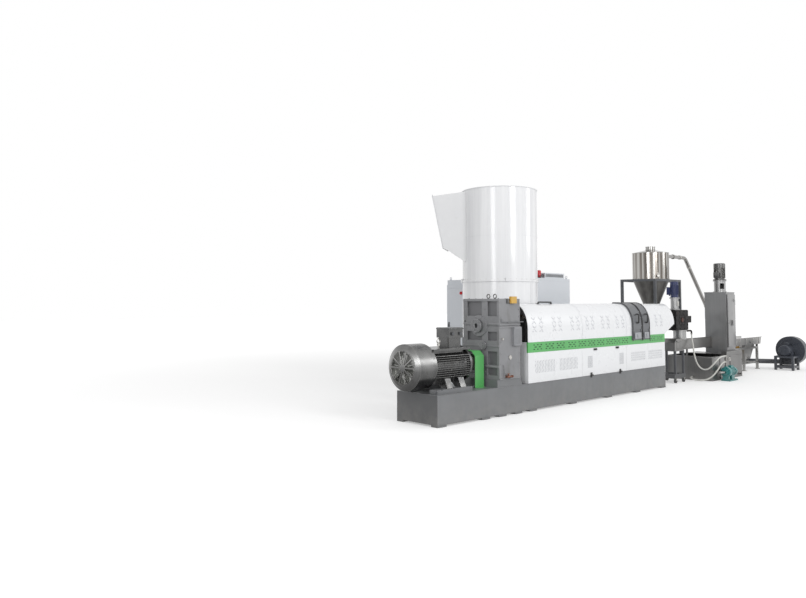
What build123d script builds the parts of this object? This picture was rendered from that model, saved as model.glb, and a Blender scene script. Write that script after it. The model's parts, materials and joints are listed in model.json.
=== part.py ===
from build123d import *
import math
import os

# Plastic pelletizing line: compactor and extruder, pelletizer, dewatering tower,
# sieve, blower and pellet silo.  Millimetres, +X along the line from the main motor
# to the blower, +Y to the back, +Z up.  Each size and place is a named value.

# Place of the front left corner of the extruder base in the model
LINE_X = -5830
LINE_Y = -1130

# Extruder base
BASE_LENGTH = 6130
BASE_WIDTH = 740
BASE_TOP = 400
BASE_ROUNDING = 8
PAD_HEIGHT = 25
PAD_DEPTH = 110
PAD_LENGTH = 170
PAD_STARTS = (0, 860, 1215, 1575, 1925, 2975, 4035, 5000, BASE_LENGTH - PAD_LENGTH)
PLINTH_START = 1190
PLINTH_LENGTH = 560
PLINTH_TOP = 500
PLINTH_SLOPE = 55

# Main motor
MOTOR_AXIS_Y = 365
MOTOR_AXIS_Z = 738
COWL_START = -255
COWL_END = 80
COWL_RADIUS = 297
COWL_FACE_RADIUS = 238
COWL_CHAMFER = 35
COWL_RIM_DEPTH = 50
COWL_WALL = 6
GRILLE_RADIUS = 215
GRILLE_DEPTH = 70
GRILLE_BAR = 12
SPOKE_COUNT = 10
SPOKE_WIDTH = 15
HUB_RADIUS = 46
BLADE_COUNT = 7
BLADE_THICKNESS = 10
BLADE_HEIGHT = 42
FRAME_END = 770
BODY_RADIUS = 214
FIN_REACH = 255
FIN_RISE = 225
FIN_CORNER = 110
FIN_PITCH = 27
FIN_THICKNESS = 8
FIN_PAIRS = 5
FIN_START = 95
FIN_LENGTH = 650
BELL_LENGTH = 60
BELL_RADIUS = 250
BELL_ROUNDING = 25
LEDGE_TOP = 965
LEDGE_THICKNESS = 26
LEDGE_WIDTH = 470
MOTOR_FEET = (288, 548)
FOOT_LENGTH = 102
FOOT_SPREAD = 275
FOOT_SLOPE = 62
FOOT_WIDTH = 110
RAIL_START = 60
RAIL_LENGTH = 680
RAIL_HEIGHT = 55
RAIL_SPREAD = 305
RAIL_WIDTH = 130
BOX_START = 490
BOX_LENGTH = 272
BOX_WIDTH = 235
BOX_FRONT = MOTOR_AXIS_Y - BOX_WIDTH / 2
BOX_BOTTOM = 1092
BOX_TOP = 1208
BOX_LID = 22
BOX_EAVE = 6
PEDESTAL_INSET = 22

# Shaft coupling and its guard
SHAFT_RADIUS = 45
COUPLING_START = 905
COUPLING_END = 1150
COUPLING_HUB = 70
COUPLING_DISC = 118
COUPLING_DISC_THICKNESS = 38
COUPLING_SPLIT = 14
GUARD_START = 945
GUARD_LENGTH = 180
GUARD_WIDTH = 350
GUARD_HEIGHT = 500
GUARD_CHAMFER = 65
GUARD_SHEET = 5

# Gearbox
GEAR_START = 1235
GEAR_LENGTH = 470
GEAR_WIDTH = 656
GEAR_TOP = 1620
SCREW_Y = 356
SCREW_Z = 1240
LOWER_SHAFT_Y = 284
LOWER_SHAFT_Z = 964
SPLIT_GROOVE = 8
POCKET_DEPTH = 35
POCKET_COLUMNS = ((38, 205), (309, 580))
POCKET_ROWS = ((558, 658), (700, 887), (1035, 1160), (1375, 1583))
BOSS_RADIUS = 148
BOSS_THICKNESS = 18
COVER_RADIUS = 92
COVER_REACH = 55
COVER_BORE = 32
LOWER_COVER_RADIUS = 66
INPUT_COVER_RADIUS = 112
INPUT_COVER_THICKNESS = 30
DUCT_BOX_START = 1520
DUCT_BOX_LENGTH = 172
DUCT_BOX_DEPTH = 42
DUCT_BOX_BOTTOM = 960
DUCT_BOX_HEIGHT = 262
BREATHER_START = 1462
BREATHER_LENGTH = 128
BREATHER_DEPTH = 38
BREATHER_HEIGHT = 98
BREATHER_TOP = 1652
BREATHER_PLATE = 60
EYE_RADIUS = 27
EYE_THICKNESS = 7
EYE_FOOT = 12
EYE_PLACES = ((1262, 209), (1262, 92))

# Compactor drum
DRUM_X = 2600
DRUM_Y = 1070
DRUM_RADIUS = 607
DRUM_WALL = 10
DRUM_BOTTOM = 1010
DRUM_SPLIT = 1895
FLANGE_HEIGHT = 36
FLANGE_WIDTH = 16
CLAMP_COUNT = 4
CLAMP_ANGLE = 230
CLAMP_REACH = 14
CLAMP_WIDTH = 70
CLAMP_RISE = 22
DRUM_TOP = 3380
LID_HEIGHT = 12
LID_RIM = 6
FLOOR_THICKNESS = 30
STAND_HALF_LENGTH = 480
STAND_REACH_FRONT = 290
STAND_REACH_BACK = 400
STAND_LEG = 90
STAND_TIE_Z = 220
FOOT_PLATE = 15
FOOT_PLATE_RIM = 35

# Feed chute, seen along its own axis from the drum centre
CHUTE_ANGLE = 125.6
CHUTE_WIDTH = 640
CHUTE_WALL = 8
CHUTE_LIP_TOP = (1070, 3300)
CHUTE_LIP_BOTTOM = (905, 2470)
CHUTE_ROOT_TOP = 3360
CHUTE_ROOT_BOTTOM = 2230
CHUTE_ROOT_INSET = 60
COLLAR_RIM = 25
COLLAR_THICKNESS = 8

# Hood over the barrel and the panels under it
HOOD_START = 1893
HOOD_OVERHANG = 400
HOOD_END = BASE_LENGTH + HOOD_OVERHANG
HOOD_BOTTOM = 991
HOOD_KNEE = 1180
HOOD_TOP = 1550
HOOD_SHOULDER = 250
HOOD_SHEET = 6
HOOD_NOSE_CUT = 390
HOOD_NOSE_RISE = 175
DRUM_ROOM = 20
STRIPE_BOTTOM = 838
STRIPE_LENGTH = BASE_LENGTH - HOOD_START
PANEL_DEPTH = 25
PANEL_JOINTS = (1420, 2810)
PANEL_GAP = 4

# Degassing covers on the front of the hood
COVER_STARTS = (4900, 5250)
COVER_LENGTHS = (335, 270)
COVER_STRAP = 44
COVER_RISE = 20
COVER_BOTTOM = 915
COVER_BACK = 370
COVER_FRAME_TOP = 1120
COVER_POCKET = 8
GRIP_Z = 1290
GRIP_LENGTH = 150
GRIP_REACH = 30
GRIP_BAR = 8
GRIP_SEAT = 60

# Screw barrel and die head
BARREL_RADIUS = 100
BARREL_END = HOOD_END + 370
BARREL_FLANGE_RADIUS = 150
BARREL_FLANGE_LENGTH = 45
THROAT_LENGTH = 420
THROAT_HEIGHT = 240
THROAT_SPREAD = 34
ADAPTER_LENGTH = 150
ADAPTER_RADIUS = 135
ADAPTER_DROP = 30
DIE_START = BARREL_END + ADAPTER_LENGTH
DIE_LENGTH = 540
DIE_FRONT = 200
DIE_WIDTH = 312
DIE_BOTTOM = 1020
DIE_TOP = 1425
DIE_CHAMFER = 14
DIE_BLOCK_LENGTH = 190
DIE_BLOCK_FRONT = 220
DIE_BLOCK_WIDTH = 200
DIE_BLOCK_BOTTOM = 1165
DIE_BLOCK_TOP = 1300

# Cutter head above and below the die
CUTTER_X = DIE_START + 280
CUTTER_Y = 355
CUTTER_SPACER_RADIUS = 75
CUTTER_SPACER_TOP = 1675
SPACER_FLANGE_RADIUS = 100
SPACER_FLANGE_HEIGHT = 18
CUTTER_MOTOR_RADIUS = 72
CUTTER_MOTOR_TOP = 2000
CUTTER_RIB_COUNT = 16
CUTTER_RIB_WIDTH = 7
CUTTER_RIB_REACH = 10
CUTTER_RIB_START = 60
CUTTER_RIB_HEIGHT = 190
CUTTER_BOX_LENGTH = 90
CUTTER_BOX_REACH = 75
CUTTER_BOX_HEIGHT = 150
RING_X = DIE_START + 400
RING_Y = 320
RING_RADIUS = 140
RING_BOTTOM = 830
RING_RIM = 16
RING_RIM_HEIGHT = 22

# Pelletizer stand: trolley base on castors, two uprights and the discharge box
TROLLEY_START = BASE_LENGTH + 690
TROLLEY_LENGTH = 470
TROLLEY_FRONT = 140
TROLLEY_WIDTH = 380
TROLLEY_BOTTOM = 90
TROLLEY_RISE = 80
TROLLEY_WALL = 50
UPRIGHT_TUBE = 40
CASTOR_RADIUS = 42
CASTOR_WIDTH = 30
BOX_X = TROLLEY_START + 40
BOX_RUN = 390
BOX_Y = 150
BOX_DEPTH = 340
BOX_Z = 625
BOX_RISE = 230
BOX_SLOPE = 70

# Pellet trough
TROUGH_START = RING_X - 200
TROUGH_FRONT = 245
TROUGH_WIDTH = 120
TROUGH_BOTTOM = 625
TROUGH_TOP = 830
TROUGH_SHEET = 4
TROUGH_FLANGE = 26
TROUGH_FLANGE_LENGTH = 14
TROUGH_LEG = 30

# Water tank and what stands on it
TANK_START = RING_X + 260
TANK_LENGTH = 1530
TANK_FRONT = -210
TANK_WIDTH = 960
TANK_HEIGHT = 480
TANK_SHEET = 5
TANK_RIM = 40
DECK_START = TANK_START + 990
OVERFLOW_START = TANK_START + 730
OVERFLOW_DEPTH = 110
OVERFLOW_HEIGHT = 80
TOWER_START = TANK_START + 1090
TOWER_LENGTH = 440
TOWER_FRONT = -85
TOWER_WIDTH = 455
TOWER_TOP = 1800
TOWER_CAP = 28
TOWER_CAP_RIM = 6
STOOL_X = TOWER_START + 230
STOOL_Y = 130
STOOL_RADIUS = 116
STOOL_WALL = 8
STOOL_HEIGHT = 255
STOOL_RIM = 18
STOOL_RIM_HEIGHT = 14
STOOL_WINDOW_WIDTH = 95
STOOL_WINDOW_HEIGHT = 120
STOOL_WINDOW_RISE = 70
STOOL_WINDOW_ANGLE = 225
TOWER_MOTOR_RADIUS = 104
TOWER_MOTOR_HEIGHT = 370
TOWER_MOTOR_PLATE = 22
TOWER_FIN_COUNT = 28
TOWER_FIN_REACH = 12
TOWER_FIN_WIDTH = 5
TOWER_FIN_START = 55
TOWER_FIN_HEIGHT = 215
TOWER_CAP_RADIUS = 118
TOWER_BOX_LENGTH = 110
TOWER_BOX_REACH = 70
TOWER_BOX_HEIGHT = 120

# Tower door
DOOR_THICKNESS = 20
DOOR_GAP = 5
DOOR_MARGIN = 25
DOOR_BOTTOM = 620
DOOR_TOP = 1750
HANDLE_INSET = 165
HANDLE_LENGTH = 20
HANDLE_REACH = 40
HANDLE_BOTTOM = 1080
HANDLE_HEIGHT = 120
HINGE_PIN_RADIUS = 5
HINGE_PLAY = 0.5
KNUCKLE_RADIUS = 9
KNUCKLE_LENGTH = 60
HINGE_OFFSET = 15
LEAF_HALF = 7
DOOR_LEAF = 8
LEAF_DROP = 32
LEAF_HEIGHT = 30
HINGE_HEIGHTS = (760, 1560)

# Pump and its pipes in front of the tank
PUMP_X = TANK_START + 290
PUMP_Y = -370
PUMP_AXIS_Z = 180
PUMP_RADIUS = 100
VOLUTE_LENGTH = 90
PUMP_NOSE_RADIUS = 60
PUMP_NOSE_LENGTH = 30
PUMP_MOTOR_RADIUS = 78
PUMP_MOTOR_LENGTH = 300
PUMP_RIB_COUNT = 20
PUMP_RIB_REACH = 10
PUMP_RIB_WIDTH = 5
PUMP_CAP_LENGTH = 55
PUMP_BED_HEIGHT = 30
PUMP_BED_WIDTH = 180
PUMP_FOOT_LENGTH = 130
PUMP_FOOT_INSET = 120
PUMP_BOX_HEIGHT = 45
PUMP_BOX_WIDTH = 90
RISER_RADIUS = 20
RISER_FLANGE = 36
RISER_FLANGE_HEIGHT = 14
VALVE_RADIUS = 32
VALVE_Z = 440
VALVE_HEIGHT = 50
SUCTION_RADIUS = 25
SUCTION_X = TANK_START + 100
SUCTION_BEND = 60
HOSE_RADIUS = 15

# Water inlet of the cutter and the low return fitting of the tank
INLET_Y = 200
INLET_Z = 1000
INLET_X = TANK_START + 20
INLET_EXIT_Z = 930
INLET_BEND = 45
INLET_WALL = 3
RETURN_Y = 190
RETURN_Z = 60
RETURN_LENGTH = 30
RETURN_WALL = 4
RISER_HIGH_Z = 500
RISER_LOW_Z = 385
RISER_NIPPLE = 45

# Routes of the two water hoses, x from the start of the tank
FEED_ROUTE = [(20, 200, 930), (20, 200, 850), (-16, 163, 738), (-62, 128, 605), (-88, 100, 480),
              (-98, 55, 360), (-100, -5, 268), (-98, -95, 225), (-96, -185, 255), (-82, -268, 345),
              (-38, -330, 440), (42, -366, 497), (152, -370, 500), (245, -370, 500)]
RETURN_ROUTE = [(245, -370, 385), (162, -370, 385), (60, -358, 336), (-20, -325, 238), (-78, -275, 142),
                (-130, -205, 66), (-172, -125, 34), (-200, -30, 24), (-208, 70, 31), (-187, 126, 41),
                (-145, 168, 52), (-90, 190, 60), (-30, 190, 60)]

# Pellet outlet of the tower over the sieve
OUTLET_FRONT = 200
OUTLET_WIDTH = 160
OUTLET_BOTTOM = 800
OUTLET_TOP = 1060
OUTLET_LIP = 900
OUTLET_REACH = 200

# Sieve
SIEVE_START = TOWER_START + 560
SIEVE_LENGTH = 2090
SIEVE_FRONT = 150
SIEVE_WIDTH = 460
SIEVE_BOTTOM = 590
SIEVE_TOP = 760
SIEVE_SHEET = 4
SIEVE_SLANT = 70
LEG_TUBE = 50
LEG_STARTS = (200, 1005, 1825)
SIEVE_FRAME_TOP = 540
SIEVE_FOOT_RADIUS = 30
SIEVE_FOOT_HEIGHT = 12
BUFFER_RADIUS = 20
FUNNEL_DROP = 330
FUNNEL_MOUTH = 90
FUNNEL_ROOM = 12
VIBRATOR_X = 780
VIBRATOR_Y = 290
VIBRATOR_RADIUS = 52
VIBRATOR_LENGTH = 190
VIBRATOR_Z = 480
VIBRATOR_PLATE = 12
SPOUT_LENGTH = 80
SPOUT_WIDTH = 100
SPOUT_FRONT = 440
SPOUT_HALF = 42
SPOUT_NECK = 120

# Blower
BLOWER_X = SIEVE_START + 2280
BLOWER_Y = -400
BLOWER_Z = 455
BLOWER_RADIUS = 290
BLOWER_GROWTH = 62
BLOWER_SPIRAL_START = -60
BLOWER_SPIRAL_STEP = 30
BLOWER_SPIRAL_TURN = 330
BLOWER_THICKNESS = 220
BLOWER_OUTLET = 200
BLOWER_OUTLET_RISE = 116
BLOWER_EYE_RADIUS = 125
BLOWER_EYE_LENGTH = 50
BLOWER_MOTOR_RADIUS = 112
BLOWER_MOTOR_LENGTH = 370
BLOWER_FIN_COUNT = 24
BLOWER_FIN_REACH = 12
BLOWER_FIN_WIDTH = 5
BLOWER_CAP_LENGTH = 75
BLOWER_STAND_LENGTH = 400
BLOWER_STAND_WIDTH = 420
BLOWER_STAND_TUBE = 50
BLOWER_PLATE = 40
DUCT_RADIUS = 55
DUCT_Z = 160
DUCT_START_X = BLOWER_X + 110
DUCT_TURN_Y = -100
DUCT_BACK_Y = 420
DUCT_END = 640
DUCT_BEND_RADIUS = 150

# Silo on its stand, with the pipe that fills it
SILO_X = TANK_START + 310
SILO_Y = 1200
SILO_RADIUS = 381
SILO_SHEET = 4
SILO_BOTTOM = 2075
SILO_TOP = 2655
LID_RISE = 70
NECK_RADIUS = 97
NECK_TOP = 2800
CONE_OUTLET_RADIUS = 75
CONE_BOTTOM = 1300
CONE_NECK = 90
STAND_LENGTH = 1190
STAND_WIDTH = 800
STAND_TUBE = 50
STAND_PLATE = 110
STAND_PLATE_HEIGHT = 10
PIPE_RADIUS = 40
PIPE_Y = 900
PIPE_Z = 2585
PIPE_BEND_X = SILO_X + 1030
PIPE_FOOT_X = SIEVE_START + 2090
PIPE_BEND_RADIUS = 200
PIPE_FOOT_RADIUS = 150
PIPE_CLAMP_RADIUS = 52
PIPE_CLAMP_LENGTH = 40

# Control cabinet behind the drum
CABINET_START = 3420
CABINET_LENGTH = 1200
CABINET_FRONT = 1060
CABINET_WIDTH = 1940
CABINET_HEIGHT = 2000
CABINET_PLINTH = 100
CABINET_DOORS = 3
CABINET_DOOR_THICKNESS = 22
CABINET_DOOR_GAP = 8
CABINET_SEAM = 90
CABINET_ROOF = 20
COOLER_START = 3860
COOLER_LENGTH = 600
COOLER_WIDTH = 400
COOLER_INSET = 10
COOLER_HEIGHT = 95
BEACON_X = 3755
BEACON_INSET = 70
BEACON_RADIUS = 45
BEACON_HEIGHT = 140
BEACON_BASE = 40
BEACON_BASE_RADIUS = 32
SEAT_GAP = 0.3


def floor(x, y, z=0):
    """Level plane with its origin at a place measured from the base corner."""
    return Plane(origin=(LINE_X + x, LINE_Y + y, z))


def front(x, y, z=0):
    """Upright plane that faces the front, sketch x along the line."""
    return Plane(origin=(LINE_X + x, LINE_Y + y, z), x_dir=(1, 0, 0), z_dir=(0, -1, 0))


def end(x, y, z=0):
    """Upright plane that faces along the line, sketch x to the back."""
    return Plane(origin=(LINE_X + x, LINE_Y + y, z), x_dir=(0, 1, 0), z_dir=(1, 0, 0))


def block(plane, length, width, height, mode=Mode.ADD):
    """Rectangle from the plane's origin, raised by height."""
    with BuildSketch(plane) as outline:
        Rectangle(length, width, align=(Align.MIN, Align.MIN))
    extrude(outline.sketch, amount=height, mode=mode)


def disc(plane, radius, height, mode=Mode.ADD):
    """Round bar or hole about the plane's origin."""
    with BuildSketch(plane) as outline:
        Circle(radius)
    extrude(outline.sketch, amount=height, mode=mode)


def ring(plane, outer, inner, height):
    """Round tube about the plane's origin."""
    with BuildSketch(plane) as outline:
        Circle(outer)
        Circle(inner, mode=Mode.SUBTRACT)
    extrude(outline.sketch, amount=height)


parts = []


def keep(builder, label):
    """Name a finished piece and write its file."""
    builder.part.label = label
    os.makedirs("parts", exist_ok=True)
    export_step(builder.part, "parts/" + label + ".step")
    parts.append(builder.part)


with BuildPart() as base_frame:
    block(floor(0, 0, PAD_HEIGHT), BASE_LENGTH, BASE_WIDTH, BASE_TOP - PAD_HEIGHT)
    top_edges = base_frame.edges().filter_by(Axis.X).group_by(Axis.Z)[-1]
    fillet(top_edges, BASE_ROUNDING)
    with BuildSketch(front(PLINTH_START, 0, BASE_TOP - BASE_ROUNDING)) as plinth_profile:
        with BuildLine():
            Polyline((0, 0), (0, PLINTH_TOP - BASE_TOP + BASE_ROUNDING),
                     (PLINTH_LENGTH - PLINTH_SLOPE, PLINTH_TOP - BASE_TOP + BASE_ROUNDING),
                     (PLINTH_LENGTH, 0), close=True)
        make_face()
    extrude(plinth_profile.sketch, amount=-BASE_WIDTH)
    for side in (MOTOR_AXIS_Y - RAIL_SPREAD, MOTOR_AXIS_Y + RAIL_SPREAD - RAIL_WIDTH):
        block(floor(RAIL_START, side, BASE_TOP - BASE_ROUNDING), RAIL_LENGTH, RAIL_WIDTH,
              RAIL_HEIGHT + BASE_ROUNDING)
keep(base_frame, "base_frame")

with BuildPart() as base_pads:
    for start in PAD_STARTS:
        for back in (0, BASE_WIDTH - PAD_DEPTH):
            block(floor(start, back, 0), PAD_LENGTH, PAD_DEPTH, PAD_HEIGHT)
keep(base_pads, "base_pads")

motor_line = Axis((LINE_X, LINE_Y + MOTOR_AXIS_Y, MOTOR_AXIS_Z), (1, 0, 0))
motor_side = front(0, MOTOR_AXIS_Y, MOTOR_AXIS_Z)

with BuildPart() as motor_frame:
    with BuildSketch(motor_side) as body_profile:
        with BuildLine():
            Polyline((COWL_END, 0), (COWL_END, BODY_RADIUS), (FRAME_END, BODY_RADIUS),
                     (FRAME_END, BELL_RADIUS),
                     (FRAME_END + BELL_LENGTH - BELL_ROUNDING, BELL_RADIUS),
                     (FRAME_END + BELL_LENGTH, BELL_RADIUS - BELL_ROUNDING),
                     (FRAME_END + BELL_LENGTH, SHAFT_RADIUS * 2),
                     (FRAME_END + BELL_LENGTH + 20, SHAFT_RADIUS * 2),
                     (FRAME_END + BELL_LENGTH + 20, SHAFT_RADIUS), (COUPLING_START, SHAFT_RADIUS),
                     (COUPLING_START, 0), close=True)
        make_face()
    revolve(body_profile.sketch, axis=motor_line)
    with BuildSketch(end(FIN_START, MOTOR_AXIS_Y, MOTOR_AXIS_Z)) as fins:
        for row in range(-FIN_PAIRS, FIN_PAIRS + 1):
            with Locations((0, row * FIN_PITCH)):
                Rectangle(2 * FIN_REACH, FIN_THICKNESS)
            with Locations((row * FIN_PITCH, 0)):
                Rectangle(FIN_THICKNESS, 2 * FIN_RISE)
        RectangleRounded(2 * FIN_REACH, 2 * FIN_RISE, FIN_CORNER, mode=Mode.INTERSECT)
        Circle(BODY_RADIUS - 5)
    extrude(fins.sketch, amount=FIN_LENGTH)
    block(floor(COWL_END, MOTOR_AXIS_Y - LEDGE_WIDTH / 2, LEDGE_TOP - LEDGE_THICKNESS), FRAME_END - COWL_END,
          LEDGE_WIDTH, LEDGE_THICKNESS)
    for foot in MOTOR_FEET:
        with BuildSketch(end(foot, MOTOR_AXIS_Y, BASE_TOP + RAIL_HEIGHT)) as foot_profile:
            with BuildLine():
                Polyline((-FOOT_SPREAD, 0), (-FOOT_SPREAD + FOOT_SLOPE, FIN_REACH - FIN_CORNER),
                         (0, FIN_REACH - FIN_CORNER), (-FOOT_SPREAD + FOOT_WIDTH, 0), close=True)
            make_face()
            mirror(about=Plane.YZ)
        extrude(foot_profile.sketch, amount=FOOT_LENGTH)
keep(motor_frame, "motor_frame")

with BuildPart() as motor_fan_cowl:
    with BuildSketch(motor_side) as cowl_profile:
        with BuildLine():
            Polyline((COWL_START, 0), (COWL_START, COWL_FACE_RADIUS),
                     (COWL_START + COWL_CHAMFER, COWL_RADIUS), (COWL_END, COWL_RADIUS),
                     (COWL_END, COWL_RADIUS - COWL_WALL), (COWL_END - COWL_RIM_DEPTH, COWL_RADIUS - COWL_WALL),
                     (COWL_END - COWL_RIM_DEPTH, BODY_RADIUS), (COWL_END, BODY_RADIUS), (COWL_END, 0),
                     close=True)
        make_face()
    revolve(cowl_profile.sketch, axis=motor_line)
    with BuildSketch(end(COWL_START, MOTOR_AXIS_Y, MOTOR_AXIS_Z)) as grille_pocket:
        Circle(GRILLE_RADIUS)
    extrude(grille_pocket.sketch, amount=GRILLE_DEPTH, mode=Mode.SUBTRACT)
    with BuildSketch(end(COWL_START, MOTOR_AXIS_Y, MOTOR_AXIS_Z)) as spokes:
        Circle(HUB_RADIUS)
        with PolarLocations((HUB_RADIUS + GRILLE_RADIUS) / 2, SPOKE_COUNT):
            Rectangle(GRILLE_RADIUS - HUB_RADIUS + 20, SPOKE_WIDTH)
    extrude(spokes.sketch, amount=GRILLE_BAR)
    with BuildSketch(end(COWL_START + GRILLE_DEPTH - BLADE_HEIGHT, MOTOR_AXIS_Y, MOTOR_AXIS_Z)) as blades:
        Circle(HUB_RADIUS)
        with PolarLocations((HUB_RADIUS + GRILLE_RADIUS) / 2, BLADE_COUNT, start_angle=9):
            Rectangle(GRILLE_RADIUS - HUB_RADIUS - 20, BLADE_THICKNESS)
    extrude(blades.sketch, amount=BLADE_HEIGHT)
keep(motor_fan_cowl, "motor_fan_cowl")

with BuildPart() as motor_terminal_box:
    block(floor(BOX_START + PEDESTAL_INSET, BOX_FRONT + PEDESTAL_INSET, LEDGE_TOP),
          BOX_LENGTH - 2 * PEDESTAL_INSET,
          BOX_WIDTH - 2 * PEDESTAL_INSET, BOX_BOTTOM - LEDGE_TOP)
    block(floor(BOX_START, BOX_FRONT, BOX_BOTTOM), BOX_LENGTH, BOX_WIDTH, BOX_TOP - BOX_BOTTOM)
    block(floor(BOX_START - BOX_EAVE, BOX_FRONT - BOX_EAVE, BOX_TOP), BOX_LENGTH + 2 * BOX_EAVE,
          BOX_WIDTH + 2 * BOX_EAVE, BOX_LID)
    chamfer(motor_terminal_box.edges().group_by(Axis.Z)[-1], BOX_LID / 2)
keep(motor_terminal_box, "motor_terminal_box")

with BuildPart() as shaft_coupling:
    middle = (COUPLING_START + COUPLING_END) / 2
    disc(end(COUPLING_START, MOTOR_AXIS_Y, MOTOR_AXIS_Z), COUPLING_HUB, COUPLING_END - COUPLING_START)
    for start in (middle - COUPLING_SPLIT / 2 - COUPLING_DISC_THICKNESS, middle + COUPLING_SPLIT / 2):
        disc(end(start, MOTOR_AXIS_Y, MOTOR_AXIS_Z), COUPLING_DISC, COUPLING_DISC_THICKNESS)
keep(shaft_coupling, "shaft_coupling")


def guard_outline(inset):
    """Section of the coupling guard, open at the floor side."""
    half = GUARD_WIDTH / 2 - inset
    top = GUARD_HEIGHT - inset
    bevel = GUARD_CHAMFER - inset * (2 - math.sqrt(2))
    with BuildSketch(end(GUARD_START, MOTOR_AXIS_Y, BASE_TOP)) as outline:
        with BuildLine():
            Polyline((-half, 0), (-half, top - bevel), (-half + bevel, top), (half - bevel, top),
                     (half, top - bevel), (half, 0), close=True)
        make_face()
    return outline.sketch


with BuildPart() as coupling_guard:
    extrude(guard_outline(0), amount=GUARD_LENGTH)
    extrude(guard_outline(GUARD_SHEET), amount=GUARD_LENGTH, mode=Mode.SUBTRACT)
keep(coupling_guard, "coupling_guard")

with BuildPart() as gearbox_housing:
    block(floor(GEAR_START, 0, PLINTH_TOP), GEAR_LENGTH, GEAR_WIDTH, GEAR_TOP - PLINTH_TOP)
    for low, high in POCKET_ROWS:
        for near, far in POCKET_COLUMNS:
            block(floor(GEAR_START, near, low), POCKET_DEPTH, far - near, high - low, Mode.SUBTRACT)
    block(floor(GEAR_START, 0, SCREW_Z - SPLIT_GROOVE / 2), GEAR_LENGTH, SPLIT_GROOVE, SPLIT_GROOVE,
          Mode.SUBTRACT)
    block(floor(GEAR_START, 0, SCREW_Z - SPLIT_GROOVE / 2), SPLIT_GROOVE, GEAR_WIDTH, SPLIT_GROOVE,
          Mode.SUBTRACT)
    disc(end(GEAR_START + SPLIT_GROOVE, SCREW_Y, SCREW_Z), BOSS_RADIUS, -SPLIT_GROOVE - BOSS_THICKNESS)
keep(gearbox_housing, "gearbox_housing")

with BuildPart() as gearbox_covers:
    ring(end(GEAR_START - BOSS_THICKNESS - COVER_REACH, SCREW_Y, SCREW_Z), COVER_RADIUS, COVER_BORE,
         COVER_REACH)
    disc(end(GEAR_START - COVER_REACH / 2, LOWER_SHAFT_Y, LOWER_SHAFT_Z), LOWER_COVER_RADIUS, COVER_REACH / 2)
    disc(end(GEAR_START - INPUT_COVER_THICKNESS, MOTOR_AXIS_Y, MOTOR_AXIS_Z), INPUT_COVER_RADIUS,
         INPUT_COVER_THICKNESS)
    disc(end(COUPLING_END, MOTOR_AXIS_Y, MOTOR_AXIS_Z), SHAFT_RADIUS,
         GEAR_START - INPUT_COVER_THICKNESS - COUPLING_END)
keep(gearbox_covers, "gearbox_covers")

with BuildPart() as gearbox_fittings:
    block(floor(DUCT_BOX_START, -DUCT_BOX_DEPTH, DUCT_BOX_BOTTOM), DUCT_BOX_LENGTH, DUCT_BOX_DEPTH,
          DUCT_BOX_HEIGHT)
    block(floor(BREATHER_START, -BREATHER_DEPTH, BREATHER_TOP - BREATHER_HEIGHT), BREATHER_LENGTH,
          BREATHER_DEPTH,
          BREATHER_HEIGHT)
    block(floor(BREATHER_START - BREATHER_PLATE, -BREATHER_DEPTH / 2, BREATHER_TOP - BREATHER_HEIGHT),
          BREATHER_PLATE,
          BREATHER_DEPTH / 2, BREATHER_HEIGHT - 30)
    for eye_x, eye_y in EYE_PLACES:
        eye_z = GEAR_TOP + EYE_RADIUS + EYE_THICKNESS
        with BuildSketch(front(eye_x, eye_y, eye_z)) as eye_section:
            with Locations((0, EYE_RADIUS)):
                Circle(EYE_THICKNESS)
        revolve(eye_section.sketch, axis=Axis((LINE_X + eye_x, LINE_Y + eye_y, eye_z), (1, 0, 0)))
        disc(floor(eye_x, eye_y, GEAR_TOP), EYE_FOOT, EYE_THICKNESS)
keep(gearbox_fittings, "gearbox_fittings")

with BuildPart() as compactor_stand:
    for leg_x in (DRUM_X - STAND_HALF_LENGTH, DRUM_X + STAND_HALF_LENGTH - STAND_LEG):
        for leg_y in (DRUM_Y - STAND_REACH_FRONT, DRUM_Y + STAND_REACH_BACK - STAND_LEG):
            block(floor(leg_x, leg_y, 0), STAND_LEG, STAND_LEG, DRUM_BOTTOM)
            block(floor(leg_x - FOOT_PLATE_RIM, leg_y - FOOT_PLATE_RIM, 0), STAND_LEG + 2 * FOOT_PLATE_RIM,
                  STAND_LEG + 2 * FOOT_PLATE_RIM, FOOT_PLATE)
        for beam_z in (STAND_TIE_Z, DRUM_BOTTOM - STAND_LEG):
            block(floor(leg_x, DRUM_Y - STAND_REACH_FRONT, beam_z), STAND_LEG,
                  STAND_REACH_FRONT + STAND_REACH_BACK,
                  STAND_LEG)
    for leg_y in (DRUM_Y - STAND_REACH_FRONT, DRUM_Y + STAND_REACH_BACK - STAND_LEG):
        block(floor(DRUM_X - STAND_HALF_LENGTH, leg_y, DRUM_BOTTOM - STAND_LEG), 2 * STAND_HALF_LENGTH,
              STAND_LEG,
              STAND_LEG)
keep(compactor_stand, "compactor_stand")

with BuildPart() as drum_floor:
    disc(floor(DRUM_X, DRUM_Y, DRUM_BOTTOM), DRUM_RADIUS, FLOOR_THICKNESS)
keep(drum_floor, "drum_floor")

with BuildPart() as drum_lower:
    ring(floor(DRUM_X, DRUM_Y, DRUM_BOTTOM + FLOOR_THICKNESS), DRUM_RADIUS, DRUM_RADIUS - DRUM_WALL,
         DRUM_SPLIT - DRUM_BOTTOM - FLOOR_THICKNESS)
keep(drum_lower, "drum_lower")

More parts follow.
